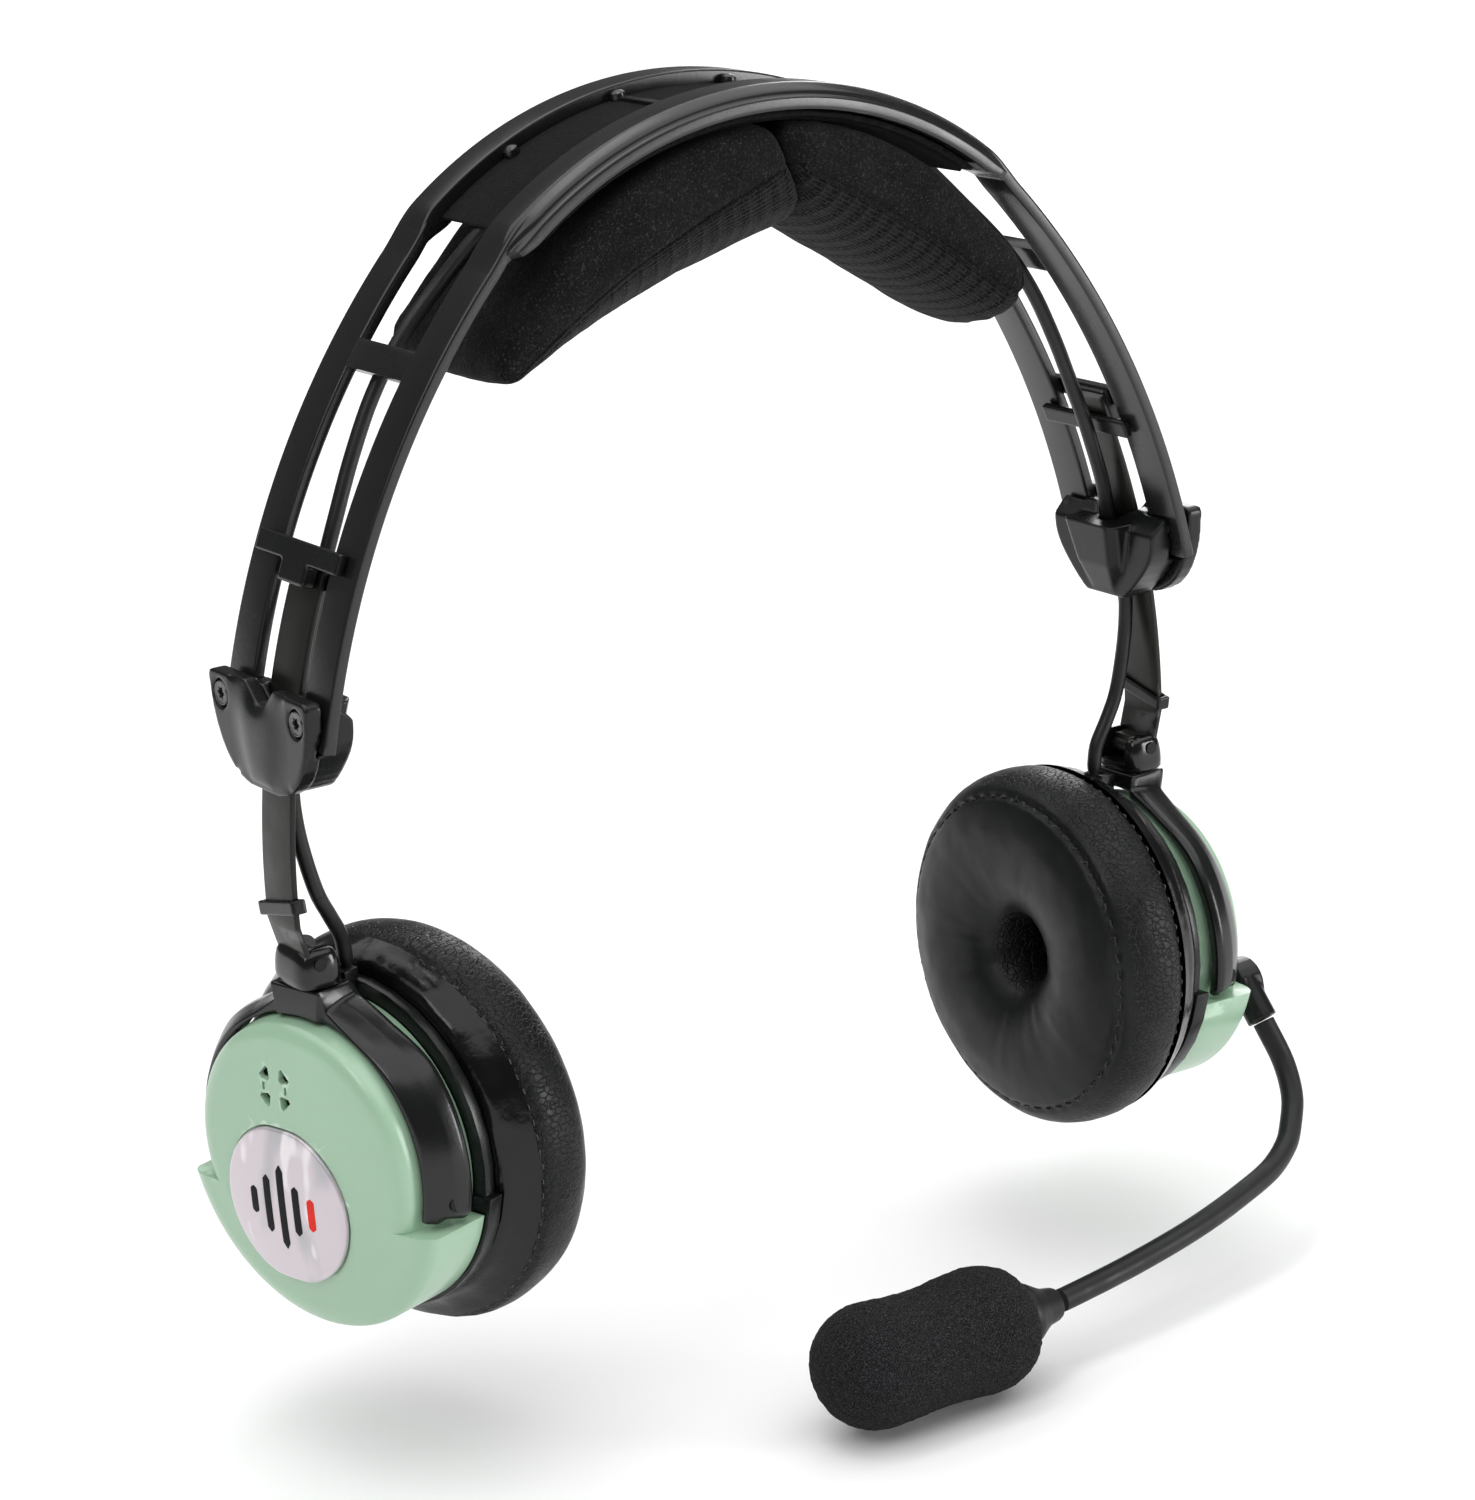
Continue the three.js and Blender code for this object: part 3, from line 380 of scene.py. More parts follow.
def foam(name):
    """Open-cell foam: dark pores between lighter walls, with scattered bright specks."""
    build = Shade(name, (0.0075, 0.0075, 0.0082), 1.0, Specular_IOR_Level=0.15)
    cell = build.cells(3300)
    # Painted shade in the pores: the cell centres are darker and the walls between them lighter, in colour.
    build.tint(build.spread(cell, 0.25, 0.75), (0.026, 0.026, 0.028))
    build.tint(build.spread(build.noise(4300, 2, 0.8), 0.6, 0.7), (0.12, 0.12, 0.125))
    build.tint(build.spread(build.noise(3000, 3, 0.8), 0.46, 0.36), (0.0015, 0.0015, 0.0015))
    build.bump(cell, 0.25)
    build.bump(build.noise(420, 4), 0.35)
    return build.material


def rubber(name, colour, roughness):
    """Matt rubber with a faint skin."""
    build = Shade(name, colour, roughness, Specular_IOR_Level=0.32)
    build.vary(90, 0.3)
    build.bump(build.noise(1500, 3), 0.03)
    build.bump(build.noise(210, 2), 0.12, 0.3)
    return build.material


def crinkled_gloss(name):
    """Shiny coated cloth gathered into uneven folds."""
    build = Shade(name, (0.0024, 0.0024, 0.0026), 0.2, Specular_IOR_Level=0.34)
    build.vary(80, 0.3)
    build.bump(build.noise(1.0, 2, distortion=0.4, place=build.stretched((60, 120, 120))), 0.45, 0.4)
    build.bump(build.noise(900, 3), 0.05)
    return build.material


def metal(name, colour, roughness):
    """Turned steel with fine lines round its length."""
    build = Shade(name, colour, roughness, Metallic=1.0)
    build.vary(140, 0.2)
    build.bump(build.noise(1.0, 2, place=build.stretched((260, 260, 3000))), 0.02, 0.5)
    return build.material


def badge_print_painted_reflections(name):
    """Pinkish silver print under clear resin, with painted reflections: soft darker and lighter patches in
    its colour.
    """
    build = Shade(name, (0.6, 0.53, 0.575), 0.3, Metallic=0.2, Coat_Weight=1.0, Coat_Roughness=0.03)
    across = build.stretched((90, 150, 60))
    # Painted reflection: darker grey patches and lighter patches across the badge, in its colour.
    build.tint(build.spread(build.noise(1.0, 1, place=across), 0.5, 0.72), (0.42, 0.41, 0.44))
    build.tint(build.spread(build.noise(1.7, 1, place=across), 0.42, 0.3), (0.78, 0.73, 0.76))
    build.bump(build.noise(1800, 2), 0.008, 0.4)
    return build.material


def woven(name, colour):
    """Plain weave cloth."""
    build = Shade(name, colour, 0.95)
    build.vary(90, 0.3)
    weave = build.node("ShaderNodeTexChecker")
    weave.inputs["Scale"].default_value = 2200
    build.feed(build.place, weave.inputs["Vector"])
    build.bump(weave.outputs["Fac"], 0.2)
    return build.material


def lacquer(name, colour):
    """Printed ink under the badge's clear dome."""
    build = Shade(name, colour, 0.45, Specular_IOR_Level=0.1)
    build.vary(300, 0.15)
    build.bump(build.noise(1800, 2), 0.01)
    return build.material


def thread(name, colour):
    """Twisted sewing thread."""
    build = Shade(name, colour, 0.7, Sheen_Weight=0.2)
    build.vary(500, 0.4)
    build.bump(build.noise(1.0, 2, place=build.stretched((2000, 5000, 5000))), 0.08)
    return build.material


# ---- Mesh helpers --------------------------------------------------------------------------------
def add_object(name, verts, faces, material, scale=MM):
    """A welded mesh object from points in millimetres."""
    mesh = bpy.data.meshes.new(name)
    mesh.from_pydata([tuple(scale * c for c in v) for v in verts], [], [tuple(f) for f in faces])
    made = bpy.data.objects.new(name, mesh)
    bpy.context.scene.collection.objects.link(made)
    tidy(made)
    mesh.materials.append(material)
    return made


def tidy(made, weld=0.002):
    """Welds double points and turns the faces outward."""
    work = bmesh.new()
    work.from_mesh(made.data)
    bmesh.ops.remove_doubles(work, verts=work.verts, dist=weld * MM)
    bmesh.ops.recalc_face_normals(work, faces=work.faces)
    work.to_mesh(made.data)
    work.free()


def smooth(made, degrees=32):
    made.data.shade_smooth()
    made.data.set_sharp_from_angle(angle=math.radians(degrees))
    return made


def settle(made):
    """Applies every modifier."""
    deps = bpy.context.evaluated_depsgraph_get()
    mesh = bpy.data.meshes.new_from_object(
        made.evaluated_get(deps), preserve_all_data_layers=True, depsgraph=deps)
    made.modifiers.clear()
    made.data = mesh
    return made


def bevel(made, width, segments=3, degrees=30):
    modifier = made.modifiers.new("Bevel", "BEVEL")
    modifier.width = width * MM
    modifier.segments = segments
    modifier.limit_method = "ANGLE"
    modifier.angle_limit = math.radians(degrees)
    modifier.miter_outer = "MITER_ARC"
    modifier.use_clamp_overlap = True
    modifier.harden_normals = False
    return settle(made)


def subdivide(made, levels=1):
    made.modifiers.new("Subdivision", "SUBSURF").levels = levels
    made.modifiers["Subdivision"].render_levels = levels
    return settle(made)


def combine(made, tool, operation):
    """Applies a boolean with the tool, which is used up."""
    modifier = made.modifiers.new("Boolean", "BOOLEAN")
    modifier.operation = operation
    modifier.solver = "EXACT"
    modifier.object = tool
    settle(made)
    bpy.data.objects.remove(tool)
    return made


def loft(rings, close=False, caps=True):
    """A shell through rings of equally many points."""
    count = len(rings[0])
    faces = []
    for i in range(len(rings) if close else len(rings) - 1):
        a, b = i * count, ((i + 1) % len(rings)) * count
        faces += [(a + j, a + (j + 1) % count, b + (j + 1) % count, b + j) for j in range(count)]
    if caps and not close:
        last = (len(rings) - 1) * count
        faces += [tuple(range(count))[::-1], tuple(range(last, last + count))]
    return [p for ring in rings for p in ring], faces


def merge(*shells):
    """Several shells as one list of points and faces."""
    verts, faces = [], []
    for points, quads in shells:
        base = len(verts)
        verts += list(points)
        faces += [tuple(base + i for i in face) for face in quads]
    return verts, faces


def moved(shell, matrix):
    points, faces = shell
    return [tuple(matrix @ Vector(p)) for p in points], faces


def turned(profile, steps=96, closed=False):
    """A turned shell about the X axis; the profile's points are (offset, radius)."""
    verts, faces = [], []
    count = len(profile)
    for i in range(steps):
        angle = 2 * math.pi * i / steps
        verts += [(x, r * math.cos(angle), r * math.sin(angle)) for x, r in profile]
        a, b = i * count, ((i + 1) % steps) * count
        for j in range(count if closed else count - 1):
            k = (j + 1) % count
            faces.append((a + j, a + k, b + k, b + j))
    return verts, faces


def rounded(corners, radius, steps=4):
    """A polygon with its corners rounded off."""
    result = []
    count = len(corners)
    for i, corner in enumerate(corners):
        here = np.array(corner, float)
        before, after = np.array(corners[i - 1], float), np.array(corners[(i + 1) % count], float)
        cut_a = min(radius, 0.45 * np.linalg.norm(before - here))
        cut_b = min(radius, 0.45 * np.linalg.norm(after - here))
        a = here + (before - here) * cut_a / np.linalg.norm(before - here)
        b = here + (after - here) * cut_b / np.linalg.norm(after - here)
        for k in range(steps + 1):
            t = k / steps
            result.append(tuple((1 - t) ** 2 * a + 2 * t * (1 - t) * here + t * t * b))
    return result


def spline(points, step):
    """Points about one step apart on a smooth curve through the given ones (centripetal Catmull-Rom)."""
    pts = [np.array(p, float) for p in points]
    pts = [2 * pts[0] - pts[1], *pts, 2 * pts[-1] - pts[-2]]
    result = []
    for p0, p1, p2, p3 in zip(pts, pts[1:], pts[2:], pts[3:]):
        t1 = max(np.linalg.norm(p1 - p0), 1e-6) ** 0.5
        t2 = t1 + max(np.linalg.norm(p2 - p1), 1e-6) ** 0.5
        t3 = t2 + max(np.linalg.norm(p3 - p2), 1e-6) ** 0.5
        parts = max(2, int(math.ceil(np.linalg.norm(p2 - p1) / step)))
        for k in range(parts):
            t = t1 + (t2 - t1) * k / parts
            a1 = p0 * (t1 - t) / t1 + p1 * t / t1
            a2 = p1 * (t2 - t) / (t2 - t1) + p2 * (t - t1) / (t2 - t1)
            a3 = p2 * (t3 - t) / (t3 - t2) + p3 * (t - t2) / (t3 - t2)
            b1 = a1 * (t2 - t) / t2 + a2 * t / t2
            b2 = a2 * (t3 - t) / (t3 - t1) + a3 * (t - t1) / (t3 - t1)
            result.append(b1 * (t2 - t) / (t2 - t1) + b2 * (t - t1) / (t2 - t1))
    return result + [pts[-2]]


def tube(path, radius, sides=20, ends=True):
    """A round tube along a path; radius is a number or one number for each point."""
    path = [np.array(p, float) for p in path]
    radii = [radius] * len(path) if isinstance(radius, (int, float)) else radius
    across = None
    rings = []
    for i, point in enumerate(path):
        along = path[min(i + 1, len(path) - 1)] - path[max(i - 1, 0)]
        along = along / np.linalg.norm(along)
        if across is None:
            across = np.cross(along, (0.0, 1.0, 0.31))
        across = across - along * np.dot(across, along)
        across = across / np.linalg.norm(across)
        other = np.cross(along, across)
        rings.append([tuple(point + radii[i] * (math.cos(a) * across + math.sin(a) * other))
                      for a in np.linspace(0, 2 * math.pi, sides, endpoint=False)])
    return loft(rings, caps=ends)


def ease(value):
    value = min(1.0, max(0.0, value))
    return value * value * (3 - 2 * value)


def lerp(a, b, t):
    return a + (b - a) * t


def ripple(point, scale, seed=0.0):
    """Smooth noise between about -1 and 1 at a point in millimetres."""
    return noise.noise(Vector(point) / scale + Vector((seed, seed * 1.7, -seed)))


# ---- Placing and finishing -----------------------------------------------------------------------
def yoke_matrix(side):
    local = (Matrix.Translation((SWIVEL_X, 0, 0)) @ Matrix.Rotation(YAW[side], 4, "Z")
             @ Matrix.Translation((-SWIVEL_OFFSET, 0, 0)))
    return side_matrix(side) @ local


def cup_matrix(side):
    pivot = Matrix.Translation(TILT_PIVOT)
    return yoke_matrix(side) @ pivot @ Matrix.Rotation(TILT, 4, "Y") @ pivot.inverted()


def side_matrix(side):
    return Matrix.Identity(4) if side == "left" else Matrix.Rotation(math.pi, 4, "Z")


def finish(made, body, nodes):
    """Lets a made piece ride on a body and stand for its CAD nodes."""
    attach(made, body)
    if nodes:
        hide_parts(*nodes)
    return made


def cad_copy(name, node, material, width=0.3, degrees=30):
    """The CAD node's own shape with its edges rounded over."""
    made = bpy.data.objects.new(name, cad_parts[node].data.copy())
    bpy.context.scene.collection.objects.link(made)
    made.data.materials.clear()
    made.data.materials.append(material)
    work = bmesh.new()
    work.from_mesh(made.data)
    bmesh.ops.remove_doubles(work, verts=work.verts, dist=0.004 * MM)
    bmesh.ops.dissolve_limit(work, angle_limit=math.radians(1), verts=work.verts, edges=work.edges)
    work.to_mesh(made.data)
    work.free()
    bevel(made, width, 3, degrees)
    return smooth(made, 40)


# ---- Headband arcs -------------------------------------------------------------------------------
def crown_sag(degrees):
    return UPPER_SAG * (degrees / UPPER_HALF_ANGLE) ** 2


def on_side(depth, y, z):
    return (SIDE_CENTRE[0] + math.sqrt((SIDE_RADIUS - depth) ** 2 - (z - SIDE_CENTRE[1]) ** 2), y, z)


def on_crown(depth, y, degrees):
    angle = math.radians(degrees)
    radius = CROWN_RADIUS - depth
    return (radius * math.sin(angle), y, CROWN_CENTRE_Z + radius * math.cos(angle))


def side_section(angle, section):
    """Ring of (depth, y) points across the side arc at an angle above its centre's level."""
    return [(SIDE_CENTRE[0] + (SIDE_RADIUS - d) * math.cos(angle), y,
             SIDE_CENTRE[1] + (SIDE_RADIUS - d) * math.sin(angle)) for d, y in section]


def crown_section(degrees, section):
    return [on_crown(d, y, degrees) for d, y in section]


def side_angle(z, depth=0.0):
    return math.asin((z - SIDE_CENTRE[1]) / (SIDE_RADIUS - depth))


def side_bar(z_low, z_high, section, steps=4):
    angles = np.linspace(side_angle(z_low), side_angle(z_high), steps + 1)
    return loft([side_section(a, section) for a in angles])


def rectangle(d0, d1, y0, y1, radius=0.4, steps=3):
    return rounded([(d0, y0), (d0, y1), (d1, y1), (d1, y0)], radius, steps)


# ---- Crossover cable (made first) ----------------------------------------------------------------
def tail_route(side):
    """The cable's way from the cup's inlet up to the arm, in the left side's place."""
    reach = SWIVEL_OFFSET - INLET_OFFSET
    x = SWIVEL_X - reach * math.cos(YAW[side])
    y = -reach * math.sin(YAW[side])
    return [(x - 0.3, y, 31.6), (x, y, 34.4), (x + 0.7, 0.8 * y, 38), (86.9, 0.3 * y, 43), (89.2, 0, 47.4)]


ARM_ROUTE = [
    (91.2, 0, 55), (92.3, 0, 62), on_side(4.2, 0, 68), on_side(4.2, 0, 76), on_side(4.6, 0, 84),
    on_side(5.2, -1.5, 92), on_side(6.3, -3.5, 100), on_side(6.3, -4, 106), on_side(6, -4, 112.2)]
BAND_ROUTE = [
    on_side(5.4, -4.6, 122), on_side(4.7, -5, 132), on_side(4.7, -5, 141), on_side(5.2, -4, 149)]
CROWN_ROUTE = [on_crown(4.7 + crown_sag(a), 0, a) for a in (38, 28, 18, 9, 0, -9, -18, -28, -38)]


# Heights where the cable passes from one body to the next, from the inlet up to the crown
INLET_Z, SEAT_Z, HINGE_Z, ARM_LOW_Z, SLIDE_Z, CROWN_FOOT_Z = 31.6, 38.5, 47.4, 62, 112, 149


def cable_path():
    """The whole cable's centreline, from the left cup over the crown to the right cup."""
    left = tail_route("left") + ARM_ROUTE + BAND_ROUTE
    right = [(-x, -y, z) for x, y, z in tail_route("right") + ARM_ROUTE + BAND_ROUTE]
    return spline(left + CROWN_ROUTE + right[::-1], 1.0)


def cable_stretch(path, side, low, high):
    sign = SIDES[side]
    return [p for p in path if sign * p[0] > 40 and low - 0.6 <= p[2] <= high + 0.6]


def cable_piece(name, points, material, radius=CABLE_RADIUS):
    return smooth(add_object(name, *tube(points, radius, 20), material), 60)


def bend_between(made, node):
    """Bakes a piece of cable's placing into its mesh and hides the CAD node it stands for."""
    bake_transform(made)
    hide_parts(node)
    return made


def cable_links(path, side, material):
    """The cable pieces of one side, from the arm down to the cup's inlet."""
    links = []
    for name, low, high, lower, upper, node in (
            ("lower", HINGE_Z, ARM_LOW_Z, "knuckle", "arm", "cable_arm"),
            ("middle", SEAT_Z, HINGE_Z, "yoke", "knuckle", "cable_tail"),
            ("inlet", INLET_Z, SEAT_Z, "cup", "yoke", "cable_tail")):
        part = sorted(cable_stretch(path, side, low, high), key=lambda p: p[2])
        radius = CABLE_RADIUS
        if name == "inlet":
            radius = [lerp(0.9, CABLE_RADIUS, ease((p[2] - 32.4) / 1.6)) for p in part]
        link = cable_piece(f"cable_{name}_{side}", part, material, radius)
        links.append(bend_between(link, f"{node}_{side}"))
    return links


def make_cable(material):
    path = cable_path()
    crown = [p for p in path if p[2] >= CROWN_FOOT_Z - 0.6]
    made = cable_piece("cable_crown", crown, material)
    finish(made, "band", ["crossover_cable"])
    for side in SIDES:
        points = cable_stretch(path, side, SLIDE_Z, CROWN_FOOT_Z)
        made = cable_piece(f"cable_slide_{side}", points, material)
        bend_between(made, "crossover_cable")
        points = cable_stretch(path, side, ARM_LOW_Z, SLIDE_Z)
        arm = cable_piece(f"cable_arm_run_{side}", points, material)
        finish(arm, f"arm_{side}", [f"cable_arm_{side}"])
        cable_links(path, side, material)


# ---- Headband ------------------------------------------------------------------------------------
def crown_drop(degrees):
    """How far the crown section lies below the plain arc; it eases back to nothing past the shoulders."""
    degrees = abs(degrees)
    if degrees <= UPPER_HALF_ANGLE:
        return crown_sag(degrees)
    return UPPER_SAG * ease((47.5 - degrees) / 7.5)


def rail_shell(mirror, side):
    """One of the four thin rails, from its foot to inside the moulded crown section."""
    def section(inner, shift=0.0):
        y0, y1 = (inner, RAIL_OUT) if side > 0 else (-RAIL_OUT, -inner)
        return rectangle(shift, RAIL_THICK + shift, y0, y1, 0.55, 4)

    angles = np.linspace(side_angle(RAIL_END_Z), JOIN_ANGLE, 56)
    rings = [side_section(a, section(RAIL_IN)) for a in angles]
    start = 90 - math.degrees(JOIN_ANGLE)
    for degrees in np.linspace(start, 38, 26)[1:]:
        inner = lerp(RAIL_IN, 10.3, ease((44 - degrees) / 4))
        rings.append(crown_section(degrees, section(inner, crown_drop(degrees) + 0.02)))
    shell = loft(rings)
    return moved(shell, Matrix.Rotation(math.pi, 4, "Z")) if mirror else shell


def upper_shell(side):
    """The deep moulded rail over the crown: rounded top, a fine lip and a flat outer face below it."""
    rings = []
    for degrees in np.linspace(-45.2, 45.2, 201):
        share = ease((45.2 - abs(degrees)) / 5.5)
        flare = ease((45.2 - abs(degrees)) / 7.5)
        lip = ease((44.0 - abs(degrees)) / 1.3)
        drop = crown_drop(degrees)
        top = drop + lerp(0.15, -0.3, share)
        bottom = drop + lerp(RAIL_THICK - 0.15, 4.4, share)
        outer = lerp(RAIL_OUT - 0.1, 20.1, flare)
        edge = lerp(RAIL_OUT - 0.1, 20.4, lip)
        inner = lerp(RAIL_IN + 0.1, 10.05, share)
        deep = bottom - top
        corners = [(top, inner), (top, outer - 2.6 * share - 0.2), (top + 0.26 * deep, outer - 0.75 * share),
                   (top + 0.46 * deep, outer - 0.4 * share), (top + 0.52 * deep, edge - 0.05 * share),
                   (bottom - 0.06 * deep, edge), (bottom, edge - 0.35 * share), (bottom, inner)]
        section = rounded(corners, 0.5, 3)
        rings.append(crown_section(degrees, [(d, side * y) for d, y in section]))
    return loft(rings)


def crown_slab(d0, d1, y0, y1, low, high, steps):
    section = rectangle(d0, d1, y0, y1, 0.2, 2)
    rings = []
    for degrees in np.linspace(low, high, steps + 1):
        sag = crown_sag(degrees)
        rings.append(crown_section(degrees, [(d + sag, y) for d, y in section]))
    return loft(rings)


def boss_shell(degrees, y, radius=1.45):
    """A small round boss standing in the trough."""
    profile = [(0.0, 0.0), (0.25, radius * 0.6), (0.6, radius * 0.92), (1.2, radius),
               (3.4, radius * 1.06), (3.4, 0)]
    shell = turned(profile, 28)
    radius_at = CROWN_RADIUS - crown_sag(degrees) - 0.3
    place = (Matrix.Translation((0, y, CROWN_CENTRE_Z)) @ Matrix.Rotation(math.radians(degrees), 4, "Y")
             @ Matrix.Translation((0, 0, radius_at)) @ Matrix.Rotation(math.pi / 2, 4, "Y"))
    return moved(shell, place)


def make_headband(plastic, lining):
    """Rails, crown rails, crossbars, ribs and bosses as one moulding, and the trough floor."""
    shells = [rail_shell(mirror, side) for mirror in (False, True) for side in (1, -1)]
    shells += [upper_shell(side) for side in (1, -1)]
    for mirror in (False, True):
        bar = side_bar(137, 141.5, rectangle(0.05, RAIL_THICK - 0.05, -10, 10, 0.4), 5)
        shells.append(moved(bar, Matrix.Rotation(math.pi, 4, "Z")) if mirror else bar)
    for degrees in (-9, 9):
        shells.append(crown_slab(1.5, 2.5, -10.5, 10.5, degrees - 0.5, degrees + 0.5, 1))
    shells += [boss_shell(d, y) for d in (-9, 9, -27, 27) for y in (-9.0, 9.0)]
    made = add_object("headband", *merge(*shells), plastic)
    bevel(made, 0.18, 2, 50)
    finish(smooth(made, 35), "band", ["headband_frame"])
    floor = add_object("trough_floor", *crown_slab(2.2, 3.0, -10.6, 10.6, -40, 40, 90), lining)
    finish(smooth(floor, 35), "band", [])
    inside = add_object("crown_lining", *crown_slab(4.5, 6.4, -16.5, 16.5, -38, 38, 90), lining)
    finish(smooth(inside, 35), "band", [])


def make_hook_strips(material):
    """The fuzzy edge of the strip that holds the pads under each crown rail."""
    for name, y0, y1 in (("rear", 9.6, 18.4), ("front", -18.4, -9.6)):
        rings = []
        for degrees in np.linspace(-38.5, 38.5, 220):
            sag = crown_sag(degrees)
            section = []
            for d, y in rectangle(4.72, 5.6, y0, y1, 0.3, 2):
                point = on_crown(d + sag, y, degrees)
                fuzz = 0.28 * ripple(point, 0.9, 3.1) + 0.2 * ripple(point, 2.3, 1.1)
                outward = 1 if y > (y0 + y1) / 2 else -1
                section.append((max(d, 4.7) + 0.1 * fuzz, y + outward * fuzz))
            rings.append(crown_section(degrees, [(d + sag, y) for d, y in section]))
        made = add_object(f"hook_edge_{name}", *loft(rings), material)
        finish(smooth(made, 60), "band", [f"hook_strip_{name}"])


# ---- Soft pieces ---------------------------------------------------------------------------------
def remesh(made, voxel, passes=2, factor=0.5):
    """One even skin over the whole shape, lightly smoothed."""
    modifier = made.modifiers.new("Remesh", "REMESH")
    modifier.mode = "VOXEL"
    modifier.voxel_size = voxel * MM
    settle(made)
    relax(made, passes, factor)
    return made


def relax(made, passes, factor=0.5):
    work = bmesh.new()
    work.from_mesh(made.data)
    for _ in range(passes):
        bmesh.ops.smooth_vert(work, verts=work.verts, factor=factor, use_axis_x=True, use_axis_y=True,
                              use_axis_z=True)
    work.to_mesh(made.data)
    work.free()


def points_of(made):
    co = np.empty(len(made.data.vertices) * 3)
    made.data.vertices.foreach_get("co", co)
    return co.reshape(-1, 3) / MM


def set_points(made, points):
    made.data.vertices.foreach_set("co", (np.asarray(points) * MM).ravel())
    made.data.update()


def normals_of(made):
    normals = np.empty(len(made.data.vertices) * 3, np.float32)
    made.data.vertices.foreach_get("normal", normals)
    return normals.reshape(-1, 3).astype(float)


def swell(made, pressure, cap, pinned):
    """Blows the closed mesh up as cloth for 20 frames; no point moves further than the cap (mm)."""
    rest = points_of(made)
    group = made.vertex_groups.new(name="held")
    group.add([int(i) for i in np.nonzero(pinned)[0]], 1.0, "REPLACE")
    cloth = made.modifiers.new("Cloth", "CLOTH")
    settings = cloth.settings
    settings.quality = 5
    settings.mass = 0.15
    settings.use_pressure = True
    settings.uniform_pressure_force = pressure
    settings.vertex_group_mass = "held"
    settings.effector_weights.gravity = 0
    cloth.collision_settings.use_collision = False
    cloth.collision_settings.use_self_collision = False
    scene = bpy.context.scene
    for step in range(1, 21):
        scene.frame_set(step)
    deps = bpy.context.evaluated_depsgraph_get()
    state = made.evaluated_get(deps)
    co = np.empty(len(state.data.vertices) * 3)
    state.data.vertices.foreach_get("co", co)
    move = co.reshape(-1, 3) / MM - rest
    size = np.linalg.norm(move, axis=1, keepdims=True)
    move *= np.minimum(1, cap / np.maximum(size, 1e-9))
    made.modifiers.clear()
    made.vertex_groups.clear()
    scene.frame_set(1)
    set_points(made, rest + move)
    return made


def seam_line(lean):
    """Where the pad's side panels meet its underside, as (x, z) pairs from the crease out to the end."""
    corner, crease = np.array((53, 134.5)), np.array((6.5 * lean + 0.3, 164.5))
    pull = np.array((29, 153))
    under = [(1 - t) ** 2 * crease + 2 * t * (1 - t) * pull + t * t * corner for t in np.linspace(0, 1, 40)]
    end_top = np.array((on_side(6.4 + UPPER_SAG, 0, 141)[0], 141))
    pull = np.array((59, 134.2))
    end = [(1 - t) ** 2 * corner + 2 * t * (1 - t) * pull + t * t * end_top for t in np.linspace(0, 1, 16)]
    return np.array(under + end[1:])


def band_depth(x, z):
    """Depth of a point under the band's outer line, in the lobe's own half (x > 0)."""
    crown = CROWN_RADIUS - np.hypot(x, z - CROWN_CENTRE_Z)
    side = SIDE_RADIUS - np.hypot(x - SIDE_CENTRE[0], z - SIDE_CENTRE[1])
    angle = np.degrees(np.arctan2(x, z - CROWN_CENTRE_Z))
    on_crown_part = angle < 90 - math.degrees(JOIN_ANGLE)
    sag = UPPER_SAG * (np.minimum(np.abs(angle), UPPER_HALF_ANGLE) / UPPER_HALF_ANGLE) ** 2
    return np.where(on_crown_part, crown, side) - sag


def stuffed_pad(side):
    """The pad's blank, blown up as cloth where it hangs free and tucked under the band along its top."""
    sign = SIDES[side]
    made = bpy.data.objects.new(f"pad_{side}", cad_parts[f"head_pad_{side}"].data.copy())
    bpy.context.scene.collection.objects.link(made)
    made.data.materials.clear()
    tidy(made, 0.01)
    remesh(made, 1.5, 6)
    points = points_of(made)
    local_x = sign * points[:, 0]
    pinned = band_depth(local_x, points[:, 2]) < 7.4
    swell(made, 4.0, 1.3, pinned)
    points = points_of(made)
    shallow = 6.15 - band_depth(sign * points[:, 0], points[:, 2])
    centre = np.array((0, 0, CROWN_CENTRE_Z))
    inward = centre - points
    inward[:, 1] = 0
    inward /= np.linalg.norm(inward, axis=1, keepdims=True)
    points += inward * np.clip(shallow, 0, 2)[:, None]
    set_points(made, points)
    return subdivide(made)


def make_head_pad(side, velour_cloth, knit_cloth):
    """Seam groove between the side panels and the underside, uneven stuffing, then the two cloths."""
    sign = SIDES[side]
    made = stuffed_pad(side)
    seam = seam_line(sign)
    points = points_of(made)
    normals = normals_of(made)
    flat = np.stack([sign * points[:, 0], points[:, 2]], 1)
    away = np.min(np.linalg.norm(flat[:, None, :] - seam[None], axis=2), axis=1)
    edge = np.clip((np.abs(points[:, 1]) - 17.0) / 1.5, 0, 1)
    groove = edge * np.clip(1 - (away / 1.5) ** 2, 0, 1) ** 2
    lumps = np.array([0.22 * ripple(p, 9, 2.0) + 0.1 * ripple(p, 3.5, 5.0) for p in points])
    free = np.clip((band_depth(flat[:, 0], flat[:, 1]) - 7) / 3, 0, 1)
    set_points(made, points + normals * (free * lumps - 0.55 * groove)[:, None])
    made.data.materials.append(velour_cloth)
    made.data.materials.append(knit_cloth)
    lay_knit(made, points, flat, seam)
    limit = seam[np.argsort(seam[:, 0])]
    for face in made.data.polygons:
        x, _, z = (c / MM for c in face.center)
        face.material_index = int(z < np.interp(sign * x, limit[:, 0], limit[:, 1]) + 0.2)
    finish(smooth(made, 80), "band", [f"head_pad_{side}"])
    make_pad_piping(side, made, seam, velour_cloth)


